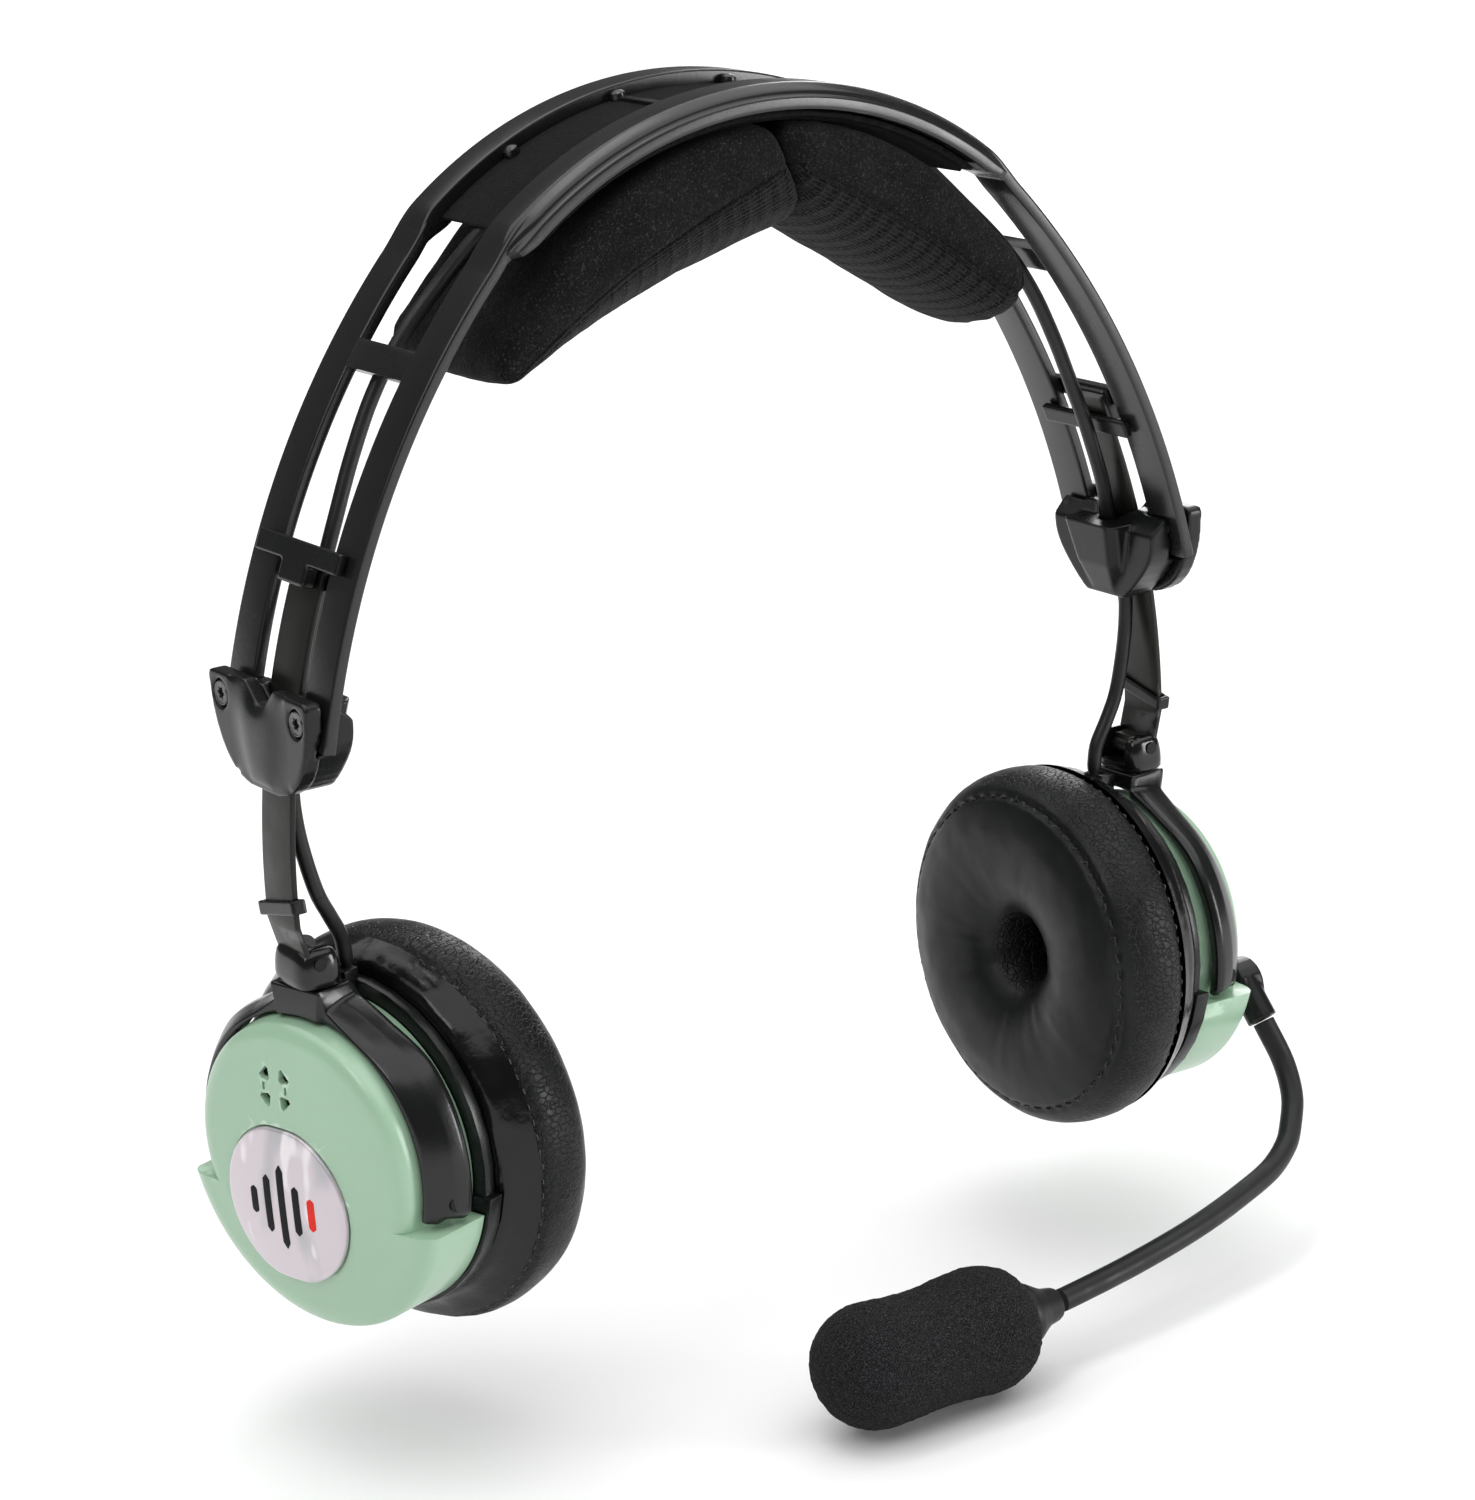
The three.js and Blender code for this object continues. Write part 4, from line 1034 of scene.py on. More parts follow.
def lay_knit(made, points, flat, seam):
    """UV map in millimetres: distance along the seam, and distance across the underside from its edges."""
    fine = np.linspace(0, len(seam) - 1, 12 * len(seam))
    seam = np.stack([np.interp(fine, np.arange(len(seam)), seam[:, k]) for k in (0, 1)], 1)
    steps = np.concatenate(([0], np.cumsum(np.linalg.norm(np.diff(seam, axis=0), axis=1))))
    gaps = np.linalg.norm(flat[:, None, :] - seam[None], axis=2)
    along = steps[np.argmin(gaps, axis=1)]
    across = points[:, 1] - np.sign(points[:, 1]) * np.min(gaps, axis=1)
    layer = made.data.uv_layers.new(name="knit")
    corner = np.empty(len(made.data.loops), int)
    made.data.loops.foreach_get("vertex_index", corner)
    layer.data.foreach_set("uv", np.stack([along, across], 1)[corner].ravel())


def make_pad_piping(side, pad, seam, material):
    """The folded seam allowance that shows as a fine raised line along both edges of a pad."""
    sign = SIDES[side]
    deps = bpy.context.evaluated_depsgraph_get()
    tree = BVHTree.FromObject(pad, deps)
    shells = []
    for edge in (-1, 1):
        path = []
        for x, z in seam[1:-2]:
            guess = Vector((sign * x, edge * 19.4, z - 0.2)) * MM
            found = tree.find_nearest(guess)
            spot = found[0] + found[1] * (0.05 * MM)
            path.append(np.array(spot) / MM)
        for _ in range(4):
            path = [path[0]] + [(a + 2 * b + c) / 4 for a, b, c in zip(path, path[1:], path[2:])] + [path[-1]]
        path = spline(path, 0.8)
        path = [p + 0.07 * np.array((ripple(p, 1.3, 1), ripple(p, 1.3, 4), ripple(p, 1.3, 7))) for p in path]
        shells.append(tube(path, 0.42, 10))
    made = add_object(f"pad_piping_{side}", *merge(*shells), material)
    finish(smooth(made, 60), "band", [])


# ---- Ear cups ------------------------------------------------------------------------------------
CUSHION_LINE = [
    (-0.3, 32.2), (-1.4, 33.6), (-2.4, 35.0), (-3.6, 35.9), (-7.5, 36.3), (-12, 35.4), (-15.2, 32.4),
    (-17.2, 27.5), (-18.0, 22), (-17.6, 17), (-16.6, 13), (-15.0, 10), (-12.6, 7.8), (-8, 6.4), (-0.4, 6.2)]
FRONT_SEAM = (-15.4, 31.9)
BACK_SEAM = (-2.3, 35.0)


def sagged(side, points):
    """The soft end of a cup: a little larger than its shell and hanging slightly below its axis."""
    points = np.array(points, float)
    share = np.clip((1.5 - points[:, 0]) / 5.5, 0, 1)
    share = share * share * (3 - 2 * share)
    grown = 1 + (GIRTH[side] - 1) * share
    return np.stack([points[:, 0], points[:, 1] * grown, points[:, 2] * grown - DROOP[side] * share], 1)


def make_cushion(side, leather, gloss, stitching, worn_stitching):
    swelling = SWELL[side]
    line = spline([(x, r, 0) for x, r in CUSHION_LINE], 1.2)
    profile = [(p[0] * swelling + (0.35 if p[0] < -2 else 0), p[1] - (0.4 if p[0] < -2 else 0)) for p in line]
    made = add_object(f"cushion_{side}", *turned(profile, 120, closed=True), leather)
    remesh(made, 1.5, 3)
    points = points_of(made)
    swell(made, 4.0, 0.9, points[:, 0] > -1.2)
    subdivide(made)
    points = points_of(made)
    normals = normals_of(made)
    radius = np.hypot(points[:, 1], points[:, 2])
    angle = np.arctan2(points[:, 2], points[:, 1])
    offset = points[:, 0] / swelling
    push = np.zeros(len(points))
    for seam_offset, seam_radius, width, depth in ((*FRONT_SEAM, 1.25, 0.8), (*BACK_SEAM, 1.0, 0.5)):
        away = np.hypot(offset - seam_offset, radius - seam_radius)
        pucker = 0.8 + 0.2 * np.cos(52 * angle)
        push -= depth * pucker * np.clip(1 - (away / width) ** 2, 0, 1) ** 2
    # Fine pleats that run from the hole out over the face, and soft unevenness in the stuffing
    fold = np.array([ripple((9 * math.cos(a), 9 * math.sin(a), 40.0 + r * 0.05), 1.15, 2.0 * swelling)
                     for a, r in zip(angle, radius)])
    front = np.clip((-offset - 4) / 6, 0, 1) * np.clip(1 - np.abs(radius - 14) / 13, 0, 1)
    low = 0.45 + 0.55 * np.clip(0.5 - np.sin(angle), 0, 1)
    push += 0.22 * fold * front * low
    push += np.array([0.16 * ripple(p, 11, 3.0) + 0.07 * ripple(p, 4, 1.0) for p in points])
    push *= np.clip((-points[:, 0] - 0.2) / 1.5, 0, 1)
    set_points(made, sagged(side, points + normals * push[:, None]))
    made.data.materials.append(gloss)
    for face in made.data.polygons:
        face.material_index = int(face.center.x / MM > BACK_SEAM[0] * swelling - 0.2)
    in_cup(made, side)
    finish(smooth(made, 80), f"cup_{side}", [f"ear_cushion_{side}"])
    make_stitches(f"front_stitches_{side}", side, made, FRONT_SEAM, 60, 2.2, 0.19, stitching)
    make_stitches(f"back_stitches_{side}", side, made, BACK_SEAM, 80, 1.2, 0.13, worn_stitching)


def make_stitches(name, side, cushion, seam, count, length, thickness, material):
    """Thread that dips in and out of the leather along a seam."""
    tree = BVHTree.FromObject(cushion, bpy.context.evaluated_depsgraph_get())
    place = cup_matrix(side)
    offset, radius = seam[0] * SWELL[side], seam[1]
    shells = []
    for i in range(count):
        middle = 2 * math.pi * (i + 0.1 * ripple((i, 0, 0), 2)) / count
        half = 0.5 * length / radius
        path = []
        for t in np.linspace(-1, 1, 7):
            angle = middle + t * half
            spot = sagged(side, [(offset, radius * math.cos(angle), radius * math.sin(angle))])[0]
            guess = place @ Vector(spot)
            spot, normal, _, _ = tree.find_nearest(guess * MM)
            lift = 0.17 - 0.4 * abs(t) ** 3
            path.append(np.array(spot) / MM + np.array(normal) * lift)
        shells.append(tube(path, [thickness * (1 - 0.45 * abs(t) ** 3) for t in np.linspace(-1, 1, 7)], 8))
    made = add_object(name, *merge(*shells), material)
    finish(smooth(made, 60), f"cup_{side}", [])


def in_cup(made, side):
    """Moves a piece made about the X axis into its cup's place."""
    matrix = cup_matrix(side)
    made.data.transform(matrix.to_3x3().to_4x4())
    made.data.transform(Matrix.Translation(matrix.translation * MM))
    return made


def make_skirt(side, gloss):
    """The glossy cloth that flares from the shell's rim out to the cushion's back seam."""
    flare = spline([(3.25, 31.2, 0), (2.6, 32.5, 0), (1.0, 33.7, 0), (-0.8, 34.5, 0), (-2.1, 35.15, 0)], 0.35)
    hidden_in, hidden_out = [(0.1, 12.2), (0.1, 30.5), (-1.9, 34.4)], [(3.25, 20), (3.25, 12.2)]
    profile = hidden_in + [(p[0], p[1]) for p in flare[::-1]] + hidden_out
    verts, faces = turned(profile, 360, closed=True)
    crinkled = []
    for x, y, z in verts:
        radius = math.hypot(y, z)
        angle = math.atan2(z, y)
        free = ease((radius - 31) / 1.5) * ease((35.4 - radius) / 1.2)
        lively = 0.45 + 0.55 * ease(math.sin(angle))
        fold = ripple((10 * math.cos(angle), 10 * math.sin(angle), x * 0.35), 1.6, 6.0 * SIDES[side])
        soft = ripple((y, z, x), 7.0, 2.0)
        factor = 1 + free * (0.36 * lively * fold + 0.26 * soft) / max(radius, 1)
        crinkled.append((x, y * factor, z * factor))
    made = in_cup(add_object(f"skirt_{side}", sagged(side, crinkled), faces, gloss), side)
    finish(smooth(made, 70), f"cup_{side}", [f"cushion_skirt_{side}"])


def cap_profile(radius, base, face, corner):
    """A turned cap: straight wall, rounded shoulder and a slightly domed face."""
    line = [(base, 0), (base, radius)]
    for i in range(13):
        angle = math.pi / 2 * i / 12
        offset = face - corner * (0.825 - 0.6 * math.sin(angle))
        line.append((offset, radius - corner * (1 - math.cos(angle))))
    flat = radius - corner
    for i in range(1, 12):
        r = flat * (1 - i / 12)
        line.append((face - 0.225 * corner * (r / flat) ** 2, r))
    return line + [(face, 0)]


def drum_profile(inset=0.0):
    """The upper half's outline: a straight wall that slopes in under the yoke and rounds over to the face."""
    wall = 27.6 - inset
    face = cap_profile(25.9 - inset, 6, 22.3 - 1.25 * inset, 4.2 - inset / 2)[2:]
    return [(6 - inset, 0), (6 - inset, wall), (10.6, wall)] + face


def ledge_profile():
    """The lower half's wider outline, whose face runs on from the drum's without a step."""
    wide = cap_profile(31.6, 7, 22.0, 5)[:15]
    inner = [(x - 0.03, r) for x, r in drum_profile() if r <= 20.8 and x > 20]
    return wide + inner


def block(x0, x1, y0, y1, z0, z1):
    ring = [(y0, z0), (y1, z0), (y1, z1), (y0, z1)]
    return loft([[(x0, y, z) for y, z in ring], [(x1, y, z) for y, z in ring]])


def prism(outline, x0, x1):
    return loft([[(x0, y, z) for y, z in outline], [(x1, y, z) for y, z in outline]])


def circle(radius, count, y=0.0, z=0.0):
    return [(y + radius * math.cos(a), z + radius * math.sin(a))
            for a in np.linspace(0, 2 * math.pi, count, endpoint=False)]


BADGE_RADIUS = 14.8
BADGE_FLAT = 0.97                 # the badge's half height over its radius
BADGE_Y, BADGE_Z = 3.0, -8.0      # on the cup's face, rearward and up from its axis
VENT_Y, VENT_Z = 3.5, 14.0


def badge_outline(radius, count=144):
    """A circle with its top and bottom cut flat and the four corners rounded off."""
    limit = radius * BADGE_FLAT
    angles = np.linspace(0, 2 * math.pi, count, endpoint=False)
    points = np.stack([radius * np.cos(angles), np.clip(radius * np.sin(angles), -limit, limit)], 1)
    for _ in range(9):
        points = (np.roll(points, 1, 0) + 2 * points + np.roll(points, -1, 0)) / 4
    return [tuple(p) for p in points]


def vent_cutters(rear):
    """Four arrow slots and two short arcs round a small centre."""
    shells = []
    arrow = [(-0.35, 2.0), (0.35, 2.0), (1.45, 3.5), (1.3, 4.2), (-1.3, 4.2), (-1.45, 3.5)]
    arc = [(2.5 * math.sin(a), 2.5 * math.cos(a)) for a in np.linspace(-0.28, 0.28, 9)]
    arc += [(3.1 * math.sin(a), 3.1 * math.cos(a)) for a in np.linspace(0.28, -0.28, 9)]
    for outline, turns in ((arrow, (45, 135, 225, 315)), (arc, (90, 270))):
        for turn in turns:
            c, s = math.cos(math.radians(turn)), math.sin(math.radians(turn))
            placed = [(VENT_Y * rear + y * c - z * s, VENT_Z + y * s + z * c) for y, z in outline]
            shells.append(prism(placed, 10, 30))
    return merge(*shells)


def make_cap(side, plastic, lining):
    """The hollow cap: drum, lower ledge, badge recess, vents and the tilt pins' bore."""
    rear = SIDES[side]

    def tool(shell):
        return add_object("tool", *shell, plastic)

    made = add_object(f"cap_{side}", *turned(drum_profile(), 144), plastic)
    ledge = tool(turned(ledge_profile(), 144))
    combine(ledge, tool(block(0, 30, -40, 40, -40, -8.2)), "INTERSECT")
    combine(made, ledge, "UNION")
    combine(made, tool(turned(drum_profile(1.6), 72)), "DIFFERENCE")
    recess = [(y + BADGE_Y * rear, z + BADGE_Z) for y, z in badge_outline(BADGE_RADIUS + 0.4)]
    combine(made, tool(prism(recess, 21.4, 30)), "DIFFERENCE")
    combine(made, tool(vent_cutters(rear)), "DIFFERENCE")
    bore = prism(circle(1.8, 24), -40, 40)
    across = Matrix.Translation(TILT_PIVOT) @ Matrix.Rotation(math.pi / 2, 4, "Z")
    combine(made, tool(moved(bore, across)), "DIFFERENCE")
    tidy(made, 0.01)
    bevel(made, 0.3, 3, 38)
    in_cup(smooth(made, 45), side)
    finish(made, f"cup_{side}", [f"ear_cap_{side}"])
    behind_vents = prism(circle(4.6, 40, VENT_Y * rear, VENT_Z), 19.6, 20.5)
    felt = add_object(f"vent_felt_{side}", *behind_vents, lining)
    finish(in_cup(smooth(felt, 40), side), f"cup_{side}", [])


def dome_height(y, z):
    """Height of the badge's clear dome over its rim at a point from its centre."""
    reach = min(1.0, max(math.hypot(y, z) / BADGE_RADIUS, abs(z) / (BADGE_RADIUS * BADGE_FLAT)))
    return 1.05 * (1 - reach ** 2.8)


def make_badge(side, print_with_painted_reflections, black, red):
    """A domed round badge that carries a plain sound-level mark."""
    rear = SIDES[side]
    outline = badge_outline(BADGE_RADIUS)
    rings = [[(21.75, y, z) for y, z in outline], [(22.45, y, z) for y, z in outline],
             [(22.6, 0.992 * y, 0.992 * z) for y, z in outline]]
    for share in (0.975, 0.95, 0.9, 0.82, 0.7, 0.55, 0.4, 0.25, 0.1, 0.02):
        inner = [(share * y, share * z) for y, z in outline]
        rings.append([(22.62 + dome_height(y, z), y, z) for y, z in inner])
    made = add_object(f"badge_{side}", *loft(rings), print_with_painted_reflections)
    shift = Matrix.Translation((0, BADGE_Y * rear * MM, BADGE_Z * MM))
    made.data.transform(shift)
    in_cup(smooth(made, 50), side)
    finish(made, f"cup_{side}", [f"cap_badge_{side}"])
    # A plain sound-level mark: upright bars of different heights, the last one red
    bars = {black: [(-7.2, 5.2), (-3.6, 11.0), (0, 16.0), (3.6, 9.4)], red: [(7.2, 6.2)]}
    for index, (material, marks) in enumerate(bars.items()):
        shells = [bar_shell(-rear * y, height) for y, height in marks]
        mark = add_object(f"badge_mark_{index}_{side}", *merge(*shells), material)
        mark.data.transform(shift)
        in_cup(smooth(mark, 40), side)
        finish(mark, f"cup_{side}", [])


def bar_shell(middle, height, half=0.85):
    """An upright rounded bar that follows the badge's dome."""
    rings = []
    for z in np.linspace(-height / 2, height / 2, 15):
        end = max(0.0, abs(z) - (height / 2 - half))
        wide = max(0.12, math.sqrt(max(0.0, half ** 2 - end ** 2)))
        ring = []
        for y, lift in ((-wide, -0.2), (-wide, 0.05), (0, 0.09), (wide, 0.05), (wide, -0.2)):
            ring.append((22.64 + dome_height(middle + y, z) + lift, middle + y, z))
        rings.append(ring)
    return loft(rings)


def make_yoke(side, plastic):
    """The C-shaped yoke, swept round the cup, with its flared square seat on top."""
    end = math.asin(-6.8 / 28.9)
    rings = []
    for angle in np.linspace(end, math.pi - end, 230):
        from_top = math.degrees(abs(angle - math.pi / 2))
        seat = ease((12.4 - from_top) / 1.9)
        dip = ease((from_top - 8) / 6) * ease((54 - from_top) / 26)
        fillet = min(1.0, max(0.0, (31 - from_top) / 19)) ** 2.2
        close = ease(math.degrees(min(angle - end, math.pi - end - angle)) / 3.2)
        flat_top = 32.2 / max(math.sin(angle), 0.5)
        line = [(9.7, 31.2 - 1.7 * dip + 0.9 * fillet), (11.0, 31.6 - 1.7 * dip + 0.9 * fillet),
                (13.8, 30.9 - 1.4 * dip + 1.0 * fillet), (16.2, 29.3 - 0.9 * dip + 1.6 * fillet),
                (17.9, 27.9 - 0.5 * dip + 1.9 * fillet)]
        top = [(lerp(x, 10.9 + (x - 9.7) * 0.99, seat), lerp(r, flat_top, seat)) for x, r in line]
        rounded_end = [(x, lerp(30.0 if x < 13 else 27.6, r, 0.4 + 0.6 * close)) for x, r in top]
        top = [low if high[1] > 30.0 else high for low, high in zip(rounded_end, top)]
        outer_x = top[-1][0]
        inner = 28.95 - 0.6 * dip
        corners = [(top[0][0], inner), *top, (outer_x, 26.7), (12.2, inner)]
        section = rounded(corners, 0.55, 3)
        rings.append([(x, r * math.cos(angle), r * math.sin(angle)) for x, r in section])
    made = add_object(f"yoke_arm_{side}", *loft(rings), plastic)
    relief = add_object("tool", *block(0, 10.9, -3.6, 3.6, 20, 40), plastic)
    combine(made, relief, "DIFFERENCE")
    tidy(made, 0.01)
    bevel(made, 0.25, 2, 50)
    matrix = yoke_matrix(side)
    made.data.transform(matrix.to_3x3().to_4x4())
    made.data.transform(Matrix.Translation(matrix.translation * MM))
    finish(smooth(made, 42), f"yoke_{side}", [f"yoke_{side}"])


# ---- Clamp, arm and knuckle ----------------------------------------------------------------------
def soft_copy(name, node, body, material, voxel=0.38, passes=3, also=()):
    """The CAD node's shape as one continuous moulding with softly rounded edges."""
    made = bpy.data.objects.new(name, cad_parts[node].data.copy())
    bpy.context.scene.collection.objects.link(made)
    made.data.materials.clear()
    tidy(made, 0.004)
    remesh(made, voxel, passes)
    made.data.materials.clear()
    made.data.materials.append(material)
    return finish(smooth(made, 75), body, [node, *also])


def soften(made, weight, passes):
    """Averages each point with its neighbours, as far as its weight (0 to 1) allows."""
    points = points_of(made)
    pairs = np.empty(len(made.data.edges) * 2, int)
    made.data.edges.foreach_get("vertices", pairs)
    pairs = pairs.reshape(-1, 2)
    count = np.maximum(np.bincount(pairs.ravel(), minlength=len(points)), 1)[:, None]
    for _ in range(passes):
        total = np.zeros_like(points)
        for axis in range(3):
            for here, there in ((0, 1), (1, 0)):
                total[:, axis] += np.bincount(pairs[:, here], points[pairs[:, there], axis], len(points))
        points += 0.8 * weight[:, None] * (total / count - points)
    set_points(made, points)


def soften_bulge(made, side):
    """Turns the faceted ridge in the middle of a clamp's outer half into a soft swelling."""
    points, normals = points_of(made), normals_of(made)
    outward = np.clip((SIDES[side] * normals[:, 0] - 0.15) / 0.3, 0, 1)
    middle = np.clip((10.2 - np.abs(points[:, 1])) / 1.5, 0, 1)
    low = np.clip((points[:, 2] - 69.5) / 1.5, 0, 1) * np.clip((87.5 - points[:, 2]) / 1.5, 0, 1)
    soften(made, outward * middle * low, 90)


def lean_keeper(made, side):
    """The keeper sits slightly askew on the strip."""
    points = points_of(made)
    middle = Vector(points.mean(0)) * MM
    made.data.transform(Matrix.Translation(middle) @ Matrix.Rotation(SIDES[side] * math.radians(13), 4, "X")
                        @ Matrix.Translation(-middle))


def shorten_foot(made):
    """Keeps the top of the arm's foot inside the knuckle's slot, so only the strip shows above it."""
    points = points_of(made)
    low, high = points[:, 2].min(), points[:, 2].max()
    points[:, 2] = low + (points[:, 2] - low) * min(1.0, (38.8 - low) / (high - low))
    set_points(made, points)


def taper_inner(made):
    """Narrows a clamp's inner half towards its foot, like the outer half, beside the cable's channel."""
    points = points_of(made)
    low, high = points[:, 2].min(), points[:, 2].max()
    share = np.clip((high - 7 - points[:, 2]) / (high - 7 - low), 0, 1)
    beside = np.clip(np.abs(points[:, 1]) - 5.5, 0, None)
    points[:, 1] -= np.sign(points[:, 1]) * 0.55 * beside * share ** 1.7
    set_points(made, points)


def make_screw(side, end, material):
    """Button screw with a six-lobed socket."""
    angles = np.linspace(0, 2 * math.pi, 60, endpoint=False)

    def ring(x, radius, lobes=0.0):
        reach = [radius + lobes * math.cos(6 * a) for a in angles]
        return [(x, SCREW_Y + r * math.cos(a), SCREW_Z + r * math.sin(a)) for r, a in zip(reach, angles)]

    stem = [(90.3, 0.9), (90.6, 1.2), (96.5, 1.2), (96.6, 2.28), (97.45, 2.3), (97.7, 2.1),
            (97.72, 1.95), (97.62, 1.8)]
    socket = [(97.64, 1.12), (97.5, 1.05), (96.9, 1.0)]
    points, faces = loft([ring(x, r) for x, r in stem] + [ring(x, r, 0.2) for x, r in socket])
    fore = -1 if end == "front" else 1
    points = [(SIDES[side] * x, SIDES[side] * fore * y, z) for x, y, z in points]
    made = add_object(f"screw_{end}_{side}", points, faces, material)
    finish(smooth(made, 40), "band", [f"clamp_screw_{end}_{side}"])


def make_arm(side, steel):
    """The curved spring strip, with its foot let into the knuckle's top."""
    section = rectangle(1.2, 2.3, -5.3, 5.3, 0.35, 3)
    rings = [side_section(a, section) for a in np.linspace(side_angle(44), side_angle(109.5), 60)]
    first = on_side(1.75, 0, 44)
    foot = []
    for t in np.linspace(0, 1, 8)[:-1]:
        x, z = lerp(94.0, first[0], t), lerp(36.0, first[2], t)
        foot.append([(x + 1.75 - d, y, z) for d, y in section])
    shell = loft(foot + rings)
    made = add_object(f"arm_{side}_spring", *moved(shell, side_matrix(side)), steel)
    finish(smooth(made, 45), f"arm_{side}", [f"arm_strip_{side}"])


def make_knuckle(side, gloss):
    """A domed hinge block, slotted for the arm's foot."""
    rings = []
    levels = [(32.6, 0.93, 1.0), (32.9, 0.985, 1.0), (34.2, 1.0, 1.0), (35.8, 0.985, 1.0), (37.2, 0.94, 1.0),
              (38.2, 0.88, 1.0), (38.9, 0.78, 1.0), (39.35, 0.64, 1.0), (39.6, 0.46, 1.0), (39.68, 0.2, 1.0)]
    for z, share, _ in levels:
        ring = []
        for a in np.linspace(0, 2 * math.pi, 64, endpoint=False):
            c, s = math.cos(a), math.sin(a)
            x = 4.4 * share * math.copysign(abs(c) ** 0.5, c)
            y = 6.2 * (0.35 + 0.65 * share) * math.copysign(abs(s) ** 0.5, s)
            ring.append((92.4 + x, y, z))
        rings.append(ring)
    made = add_object(f"hinge_{side}", *moved(loft(rings), side_matrix(side)), gloss)
    slot = moved(block(80, 95.1, -3.6, 3.6, 34.05, 45), side_matrix(side))
    combine(made, add_object("tool", *slot, gloss), "DIFFERENCE")
    tidy(made, 0.01)
    bevel(made, 0.3, 3, 40)
    finish(smooth(made, 50), f"knuckle_{side}", [f"knuckle_{side}"])


# ---- Boom and microphone -------------------------------------------------------------------------
NECK_BASE = [(102.9, -26.6, -17.1), (104.2, -31, -25), (102.9, -34.8, -30.8), (99.4, -38.1, -35)]
NECK_FRONT = [(98.9, -38.5, -35.5), (97.2, -39.7, -37), (91, -42.5, -39.7), (80, -45.5, -41.8),
              (66, -48.6, -43.6), (48, -51.4, -45.2), (31.3, -53.3, -46.2), (29.6, -53.4, -46.3)]


def make_boom(black_rubber, foam_cell, plastic):
    """Hub, gooseneck in two lengths, collar and windscreen."""
    path = spline(NECK_BASE + NECK_FRONT, 0.8)
    bend = (99.15, -35.25)
    split = min(range(len(path)), key=lambda i: abs(path[i][0] - bend[0]) + abs(path[i][2] - bend[1]))
    base = smooth(add_object("gooseneck_lower", *tube(path[:split + 1], NECK_RADIUS, 28), black_rubber), 60)
    finish(base, "boom", ["gooseneck_base"])
    front = smooth(add_object("gooseneck_upper", *tube(path[split:], NECK_RADIUS, 28), black_rubber), 60)
    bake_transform(front)
    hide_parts("gooseneck_front")
    soft_copy("boom_pivot", "boom_hub", "boom", plastic, 0.3, 3)
    x, y, z = MIC_AXIS
    collar = [(15.2, 0), (15.2, 5.6), (19.6, 5.75), (20.4, 5.95), (22.6, 5.9), (23.3, 5.6),
              (25.6, 4.2), (26.8, 3.6), (29.0, 3.2), (29.6, 2.9), (29.6, 0)]
    made = add_object("collar", *turned(collar, 48), black_rubber)
    made.data.transform(Matrix.Translation(Vector((x, y, z)) * MM))
    finish(smooth(made, 40), "mic", ["mic_collar"])
    make_windscreen(foam_cell)


def make_windscreen(foam_cell):
    """The slipped-on foam ball: fuller at the tip, a slight waist, and a rolled mouth at the collar."""
    tip, mouth = -23.4, 20.6
    line = []
    for angle in np.linspace(0, math.pi / 2, 26):
        line.append((tip + 11.6 * (1 - math.cos(angle)), 11.6 * math.sin(angle) ** 0.94))
    for t in np.linspace(0, 1, 22)[1:]:
        offset = lerp(tip + 11.6, mouth - 9.0, t)
        line.append((offset, 11.6 - 0.7 * math.sin(math.pi * t) ** 1.5 + 0.2 * t))
    for angle in np.linspace(0, math.pi / 2, 22)[1:]:
        line.append((mouth - 9.0 + 9.0 * math.sin(angle), 5.6 + 6.2 * math.cos(angle) ** 0.8))
    line += [(mouth - 0.8, 5.2), (mouth - 6, 5.0), (mouth - 6, 0)]
    verts, faces = turned(line, 150)
    made = add_object("windscreen", verts, faces, foam_cell)
    subdivide(made)
    points = points_of(made)
    normals = normals_of(made)
    relief = ((0.13, 0.8, 1), (0.12, 1.9, 4), (0.3, 14, 2))
    push = np.array([sum(depth * ripple(p, scale, seed) for depth, scale, seed in relief) for p in points])
    set_points(made, points + normals * push[:, None])
    lean = Matrix.Rotation(math.radians(1.3), 4, "Y")
    made.data.transform(Matrix.Translation(Vector(MIC_AXIS) * MM) @ lean)
    finish(smooth(made, 80), "mic", ["mic_windscreen"])


# ---- Everything ----------------------------------------------------------------------------------
def dress(nodes, material):
    """Gives a material to CAD nodes that show as they are."""
    for name in nodes:
        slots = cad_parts[name].data.materials
        slots.clear()
        slots.append(material)


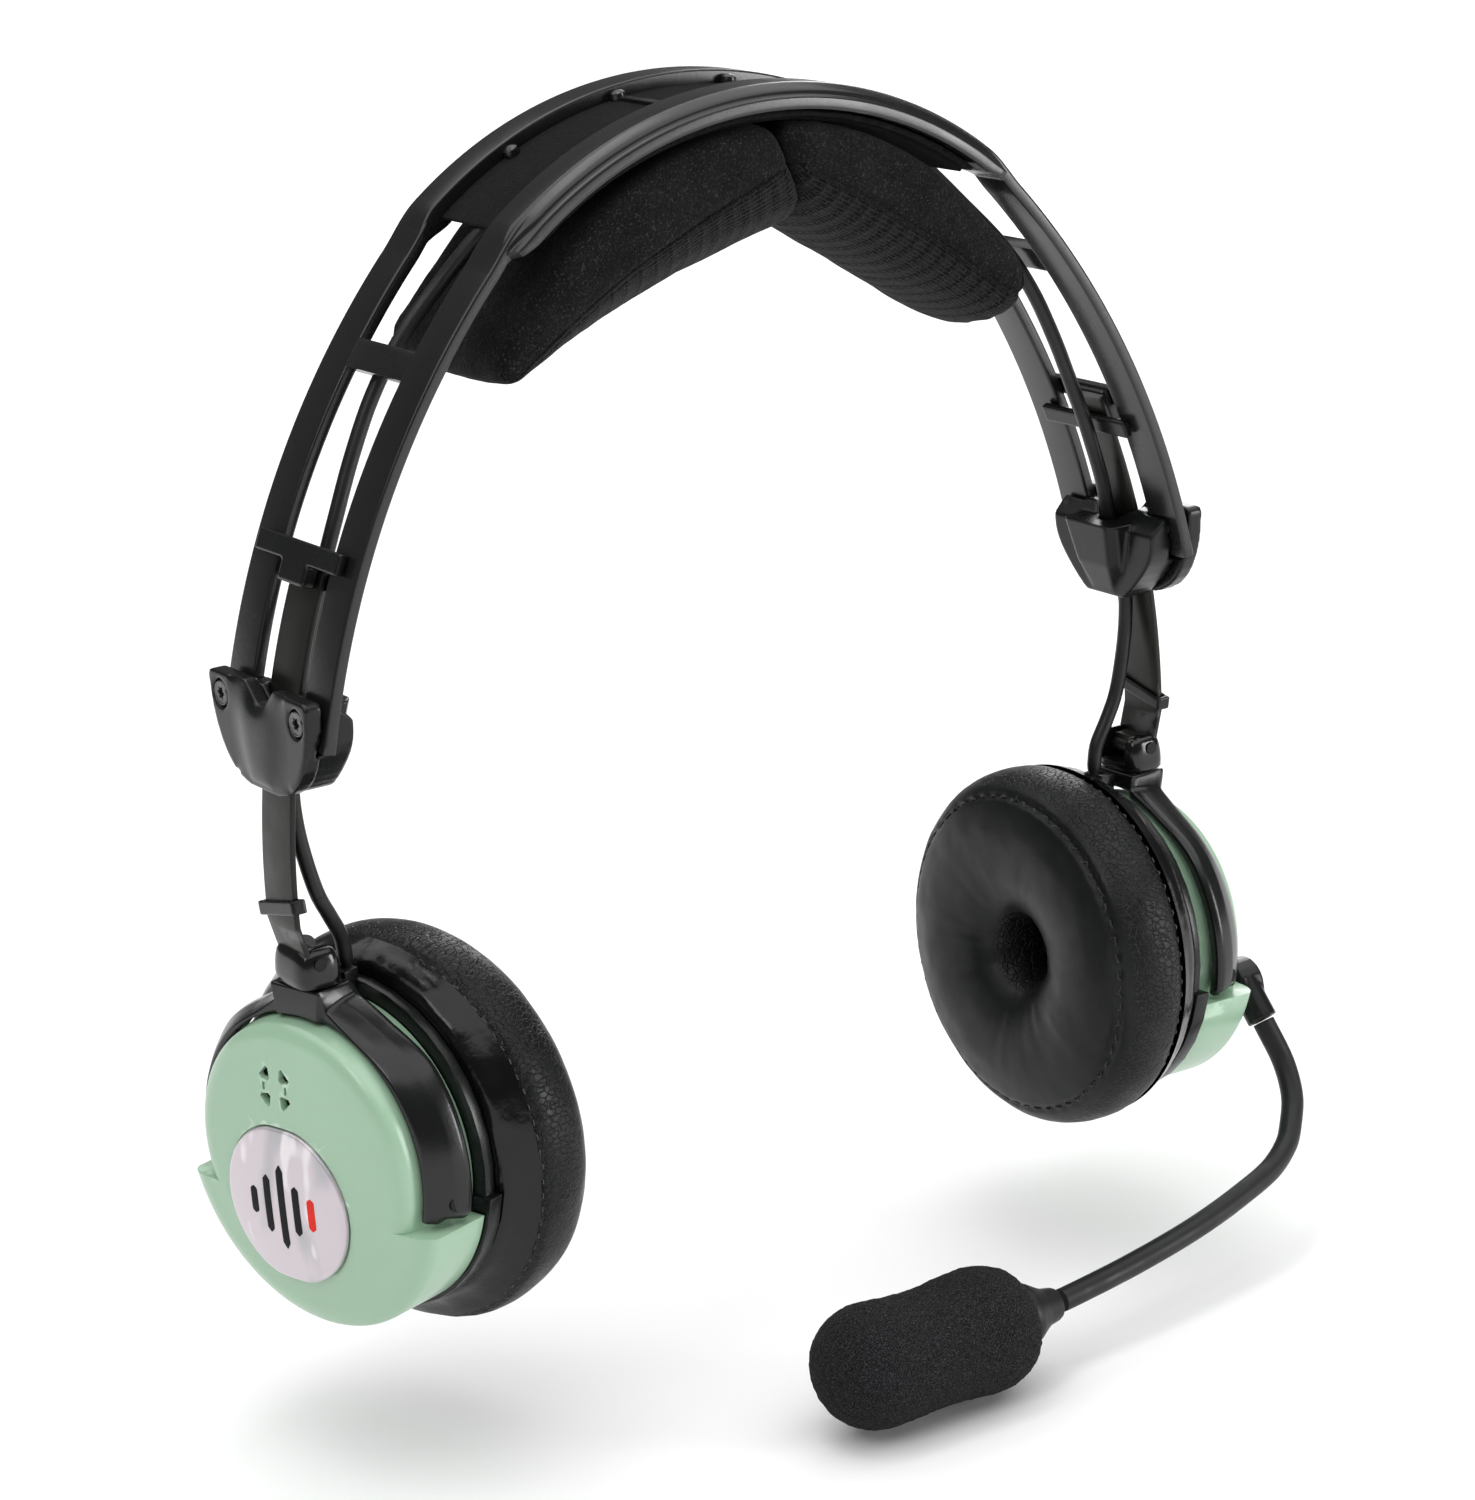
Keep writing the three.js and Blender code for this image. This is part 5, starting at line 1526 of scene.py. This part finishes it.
def make_palette():
    """The shared materials, by short names."""
    return SimpleNamespace(
        plastic=moulded("black_plastic", (0.0056, 0.0062, 0.006), 0.27),
        crown=moulded("crown_plastic", (0.0075, 0.0074, 0.0084), 0.25, 0.012, 0.5),
        gloss=moulded("gloss_plastic", (0.004, 0.0042, 0.0042), 0.17, 0.008, 0.45),
        yoke=moulded("yoke_plastic", (0.005, 0.0054, 0.0053), 0.24, 0.012, 0.42),
        board=moulded("board", (0.02, 0.12, 0.04), 0.4),
        arm_steel=painted("painted_steel", (0.0088, 0.009, 0.007), 0.36),
        screw=metal("dark_screw", (0.11, 0.11, 0.112), 0.38),
        pin=metal("dark_pin", (0.022, 0.022, 0.023), 0.4),
        bright=metal("pin_steel", (0.42, 0.42, 0.43), 0.3),
        cap=sage("sage_plastic"),
        badge=badge_print_painted_reflections("badge_print_painted_reflections"),
        mark_black=lacquer("mark_black", (0.006, 0.006, 0.006)),
        mark_red=lacquer("mark_red", (0.72, 0.03, 0.018)),
        stitch=thread("dark_thread", (0.006, 0.006, 0.0065)),
        worn_stitch=thread("worn_thread", (0.05, 0.05, 0.053)),
        velour=velour("velour"),
        knit=knit("mesh_knit"),
        pile=hook_pile("hook_pile"),
        skirt=crinkled_gloss("skirt_gloss"),
        cloth=woven("driver_cloth", (0.008, 0.008, 0.009)),
        foam=foam("open_foam"),
        neck=rubber("neck_rubber", (0.0075, 0.0078, 0.0078), 0.45))


def make_clamp_and_arm(side, use):
    """The clamp block, the sliding arm with its clip and keeper, and the screws."""
    for half in ("outer", "inner"):
        clamp = soft_copy(f"clamp_{half}_half_{side}", f"clamp_{half}_{side}", "band",
                          use.plastic)
        if half == "outer":
            soften_bulge(clamp, side)
        else:
            taper_inner(clamp)
        soft_copy(f"clip_{half}_{side}", f"slide_clip_{half}_{side}", f"arm_{side}",
                  use.plastic, 0.3, 2)
    keeper = soft_copy(f"keeper_{side}", f"arm_keeper_{side}", f"arm_{side}",
                       use.plastic, 0.25, 2)
    lean_keeper(keeper, side)
    foot = soft_copy(f"foot_{side}", f"arm_foot_{side}", f"arm_{side}",
                     use.arm_steel, 0.25, 2)
    shorten_foot(foot)
    for end in ("front", "rear"):
        make_screw(side, end, use.screw)
    make_arm(side, use.arm_steel)


def make_cup(side, use):
    """Knuckle, yoke and everything that rides on the ear cup."""
    make_knuckle(side, use.gloss)
    make_yoke(side, use.yoke)
    leather = leatherette(f"leatherette_{side}", (640, 970, 970))
    make_cushion(side, leather, use.skirt, use.stitch, use.worn_stitch)
    make_skirt(side, use.skirt)
    make_cap(side, use.cap, use.pile)
    make_badge(side, use.badge, use.mark_black, use.mark_red)
    shell = cad_copy(f"shell_{side}", f"ear_shell_{side}", use.plastic, 0.25)
    finish(shell, f"cup_{side}", [f"ear_shell_{side}"])


def main():
    make_camera()
    make_cable(rubber("cable_rubber", (0.0095, 0.0102, 0.0098), 0.4))
    make_studio()
    make_floor()
    use = make_palette()
    make_headband(use.crown, use.pile)
    make_hook_strips(use.pile)
    for side in SIDES:
        make_head_pad(side, use.velour, use.knit)
        make_clamp_and_arm(side, use)
        make_cup(side, use)
    make_boom(use.neck, use.foam, use.plastic)
    dress(["mic_capsule"], use.bright)
    for side in SIDES:
        dress([f"driver_cover_{side}"], use.cloth)
        dress([f"circuit_board_{side}"], use.board)
        dress([f"speaker_driver_{side}"], use.bright)
        dress([f"fold_pin_{side}", f"tilt_pin_rear_{side}", f"tilt_pin_front_{side}"], use.pin)


main()
